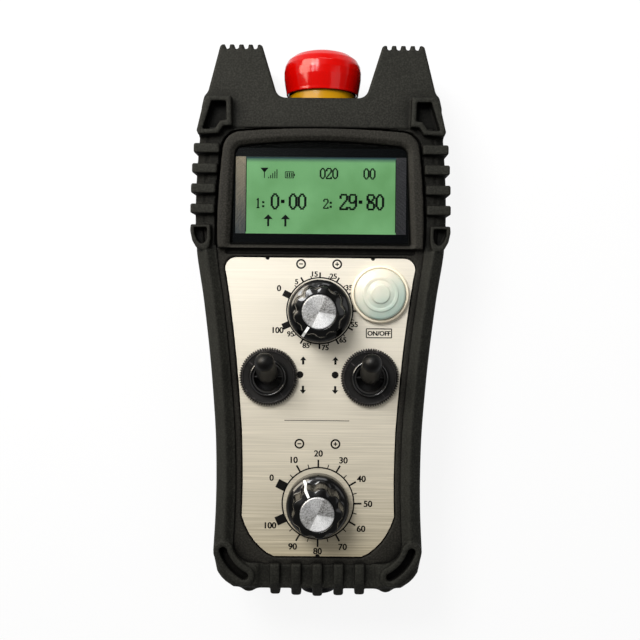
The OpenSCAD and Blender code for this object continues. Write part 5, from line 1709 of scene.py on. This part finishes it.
@dataclass
class StopButton:
    """A glossy red head on a yellow collar at the top end, with its return spring inside."""

    paints: Paints
    head: Line = ((12.4, 3.6), (12.4, 0.4), (13.5, 0.0), (13.6, 1.2), (13.95, 3.0), (14.4, 6.0), (14.5, 8.6),
                  (14.15, 10.9), (13.0, 13.0), (10.6, 14.8), (7.4, 15.9), (3.6, 16.4), (0.0, 16.5))
    ring: Line = ((8.2, 6.0), (8.2, 0.0), (11.9, 0.0), (12.15, 0.4), (12.2, 6.5), (12.0, 6.7), (10.1, 6.7),
                  (10.1, 4.6), (8.2, 4.6))
    wire_r: float = 0.4
    turns: int = 5
    steps: int = 24
    sides: int = 8
    travel: float = 3.0

    def build(self) -> None:
        """Build the head, the collar and the spring."""
        Piece("stop_dome", "red", Body.STOP, "stop_red", "stop_head").turned(
            fillet(self.head, 1.8, 5), 144, self.paints, seat_of("stop_head", 1), move=endwise)
        Piece("stop_ring", "yellow", Body.UNIT, "collar_yellow", "stop_collar", 50).turned(
            fillet(self.ring, 0.3, 4)[1:], 144, self.paints, seat_of("stop_collar", 1), move=endwise)
        self._spring()
        LOG.info("stop button: built")

    def _spring(self) -> None:
        """Wind the hidden return spring."""
        low, high = corners("stop_spring")
        origin, length = seat_of("stop_spring", 1), high.y - low.y
        radius, rings = (high.x - low.x) / 2 - self.wire_r, self.turns * self.steps
        pitch = (length - 2 * self.wire_r) / rings
        points = []
        for i in range(rings + 1):
            turn = i * 2 * math.pi / self.steps
            for reach, up in arc((radius, self.wire_r), self.wire_r, 0, 360, self.sides)[:-1]:
                points.append((reach * math.cos(turn), up + i * pitch, reach * math.sin(turn)))
        sides = self.sides
        faces = [(i + k, i + (k + 1) % sides, i + sides + (k + 1) % sides, i + sides + k)
                 for i in range(0, rings * sides, sides) for k in range(sides)]
        faces += [tuple(range(sides)), tuple(range(rings * sides, (rings + 1) * sides))]
        coil = Piece("stop_coil", "steel", Body.UNIT, "steel", "stop_spring").built(
            points, faces, self.paints, origin)
        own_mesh(coil)


@dataclass
class DustPlug:
    """The rubber plug in the charge socket at the lower end."""

    paints: Paints
    face: Line = ((0.0, 0.25), (3.2, 0.2), (3.8, 0.0))
    rim_len: float = 8.5
    stud: Line = ((3.95, 8.5), (3.95, 15.2), (0.0, 15.3))

    def build(self) -> None:
        """Build the plug's cap and stud."""
        low, high = corners("charge_plug")
        radius = (high.z - low.z) / 2
        shape = [*self.face, (radius - 0.2, 0.0), (radius, self.rim_len), *self.stud]
        Piece("plug_cap", "plug", Body.PLUG, "plug_rubber", "charge_plug", 50).turned(
            fillet(shape, 0.9, 6), 96, self.paints, seat_of("charge_plug", 1), move=endwise)
        LOG.info("dust plug: built")


@dataclass
class Inside:
    """Finishes for the frame's solids that stay as they are."""

    paints: Paints
    done: tuple[str, ...] = ("screen_window", "lcd_glass", "lcd_frame", "face_plate")
    finish_of: tuple[tuple[str, str], ...] = (
        ("housing_black", "shell"), ("steel", "steel"), ("display_metal", "strips"),
        ("backlight_white", "white_ink"), ("board_green", "board"), ("ribbon_amber", "ribbon"),
        ("black_metal", "nut"), ("pot_metal", "steel"), ("battery_wrap", "wrap"), ("foam_grey", "foam"),
        ("sleeve_rubber", "sleeve"), ("plunger_white", "white_ink"), ("socket_metal", "steel"),
        ("cap_aluminium", "steel"), ("boot_rubber", "boot"), ("plate_ivory", "plate"))

    def build(self) -> None:
        """Give each remaining solid its material."""
        finishes = dict(self.finish_of)
        slots = {part["node"]: part["material_slot"] for part in frame["record"]["subparts"]}
        for name, solid in frame["nodes"].items():
            if solid.hide_render or name in self.done:
                continue
            finish = "sleeve" if name.startswith("toggle_pin") else finishes.get(slots.get(name, ""), "dark")
            self.paints.coat(solid, finish)
        LOG.info("inside: finished")


# Studio


@dataclass
class Studio:
    """A pale floor, soft light and the camera above the unit."""

    lens: float = 46.2
    camera_place: Place = (5.4, 12.7, 332.0)
    roll_deg: float = 0.545
    shift: Point = (-0.0234, -0.0484)
    floor_half: float = 3.0
    floor_drop: float = -0.0002
    floor_white: float = 0.88
    sun_way: Place = (-0.42, 0.6, 0.68)
    aim: Place = (0, 0, 30)
    card: Place = (1.0, 0.9, 0.74)
    panes: tuple[Place, Place] = ((-170, 260, 420), (48, 40, -26))

    def build(self) -> None:
        """Set the stage."""
        self._floor()
        self._world()
        middle, apart = self.panes
        for across in SIDES:
            for along in SIDES:
                place = (middle[0] + across * apart[0], middle[1] + along * apart[1], middle[2] + along * apart[2])
                self._lamp(f"pane_{across}_{along}", place, (84, 84), 0.62)
        self._lamp("card", (-330, 250, 300), (400, 260), 5.2, self.card)
        self._lamp("fill", (330, 60, 420), (260, 260), 0.3)
        self._lamp("top", (60, 420, 300), (240, 110), 0.4)
        camera = bpy.data.objects.new("camera", bpy.data.cameras.new("camera"))
        camera.data.lens = self.lens
        camera.data.sensor_width = 36.0
        camera.data.shift_x, camera.data.shift_y = self.shift
        camera.data.clip_start = 0.01
        camera.location = Vector(self.camera_place) * MM
        camera.rotation_euler = (0.0, 0.0, math.radians(self.roll_deg))
        bpy.context.scene.collection.objects.link(camera)
        bpy.context.scene.camera = camera
        bpy.context.scene.view_settings.view_transform = "Standard"
        LOG.info("studio: set")

    def _floor(self) -> None:
        """Add the pale floor, which the camera, metal and glass see as plain white."""
        half = self.floor_half
        mesh = bpy.data.meshes.new("floor")
        mesh.from_pydata([(-half, -half, 0), (half, -half, 0), (half, half, 0), (-half, half, 0)], [],
                         [(0, 1, 2, 3)])
        floor = bpy.data.objects.new("floor", mesh)
        floor.location.z = self.floor_drop
        bpy.context.scene.collection.objects.link(floor)
        graph = Graph("floor")
        white = graph.node("Emission", {"Color": WHITE, "Strength": 1.0})
        share = graph.times(graph.math("MAXIMUM", *graph.rays()), self.floor_white)
        graph.mix_shaders(share, graph.shader, white)
        mesh.materials.append(graph.set(Base_Color=linear("e6e6e6"), Roughness=0.8,
                                        Normal=graph.bump(graph.noise(2.0), 0.01)))

    def _world(self) -> None:
        """Light the scene evenly from all round, with a white backdrop near the horizon."""
        world = bpy.data.worlds.new("world")
        world.use_nodes = True
        sky = Nodes(world.node_tree, "Generated")
        toward = sky.node("VectorMath", {0: sky.place, 1: Vector(self.sun_way).normalized()},
                          operation="DOT_PRODUCT").outputs["Value"]
        soft = world.node_tree.nodes["Background"]
        sky.feed(soft, {"Color": (1.0, 0.985, 0.96, 1.0),
                        "Strength": sky.spread(toward, (0.76, 0.98), (0.22, 1.5))})
        white = sky.node("Background", {"Color": WHITE})
        seen, shown = sky.rays()
        low = sky.spread(sky.axis(2), (0.06, 0.3), (1.0, 0.0))
        share = sky.math("MAXIMUM", sky.times(shown, low), seen)
        mixed = sky.node("MixShader", {0: share, 1: soft.outputs[0], 2: white.outputs[0]})
        sky.feed(world.node_tree.nodes["World Output"], {"Surface": mixed.outputs[0]})
        bpy.context.scene.world = world

    def _lamp(self, name: str, place: Place, size: Point, power: float, card: Place | None = None) -> None:
        """Add a soft box that faces the unit.

        Args:
            name: The lamp's name.
            place: Where it stands, in millimetres.
            size: Its width and height, in millimetres.
            power: Its power, in watts.
            card: The colour of a card that shines only in glossy things, if it is one.
        """
        light = bpy.data.lights.new(name, "AREA")
        light.shape = "RECTANGLE"
        light.size, light.size_y = size[0] * MM, size[1] * MM
        light.energy = power
        lamp = bpy.data.objects.new(name, light)
        if card:
            light.color = card
            lamp.visible_diffuse = False
        lamp.location = Vector(place) * MM
        aim = Vector(self.aim) * MM - lamp.location
        lamp.rotation_euler = aim.to_track_quat("-Z", "Y").to_euler()
        bpy.context.scene.collection.objects.link(lamp)


def main() -> None:
    """Build every piece in order."""
    for item in list(bpy.context.scene.objects):
        if item.name in ("Cube", "Light", "Camera"):
            bpy.data.objects.remove(item)
    layout = Layout.read()
    paints = Paints()
    Studio().build()
    Boot(layout, paints).build()
    Housing(layout, paints).build()
    FacePlate(layout, paints).build()
    Screen(layout, paints).build()
    SpeedKnob(1, Body.LOWER_KNOB, 117.0, paints).build()
    SpeedKnob(2, Body.UPPER_KNOB, -123.5, paints).build()
    Toggle("a", Body.LEFT_TOGGLE, paints).build()
    Toggle("b", Body.RIGHT_TOGGLE, paints).build()
    PowerButton(paints).build()
    StopButton(paints).build()
    DustPlug(paints).build()
    Inside(paints).build()


if __name__ == "__main__":
    logging.basicConfig(level=logging.INFO, format="%(name)s: %(message)s")
    main()
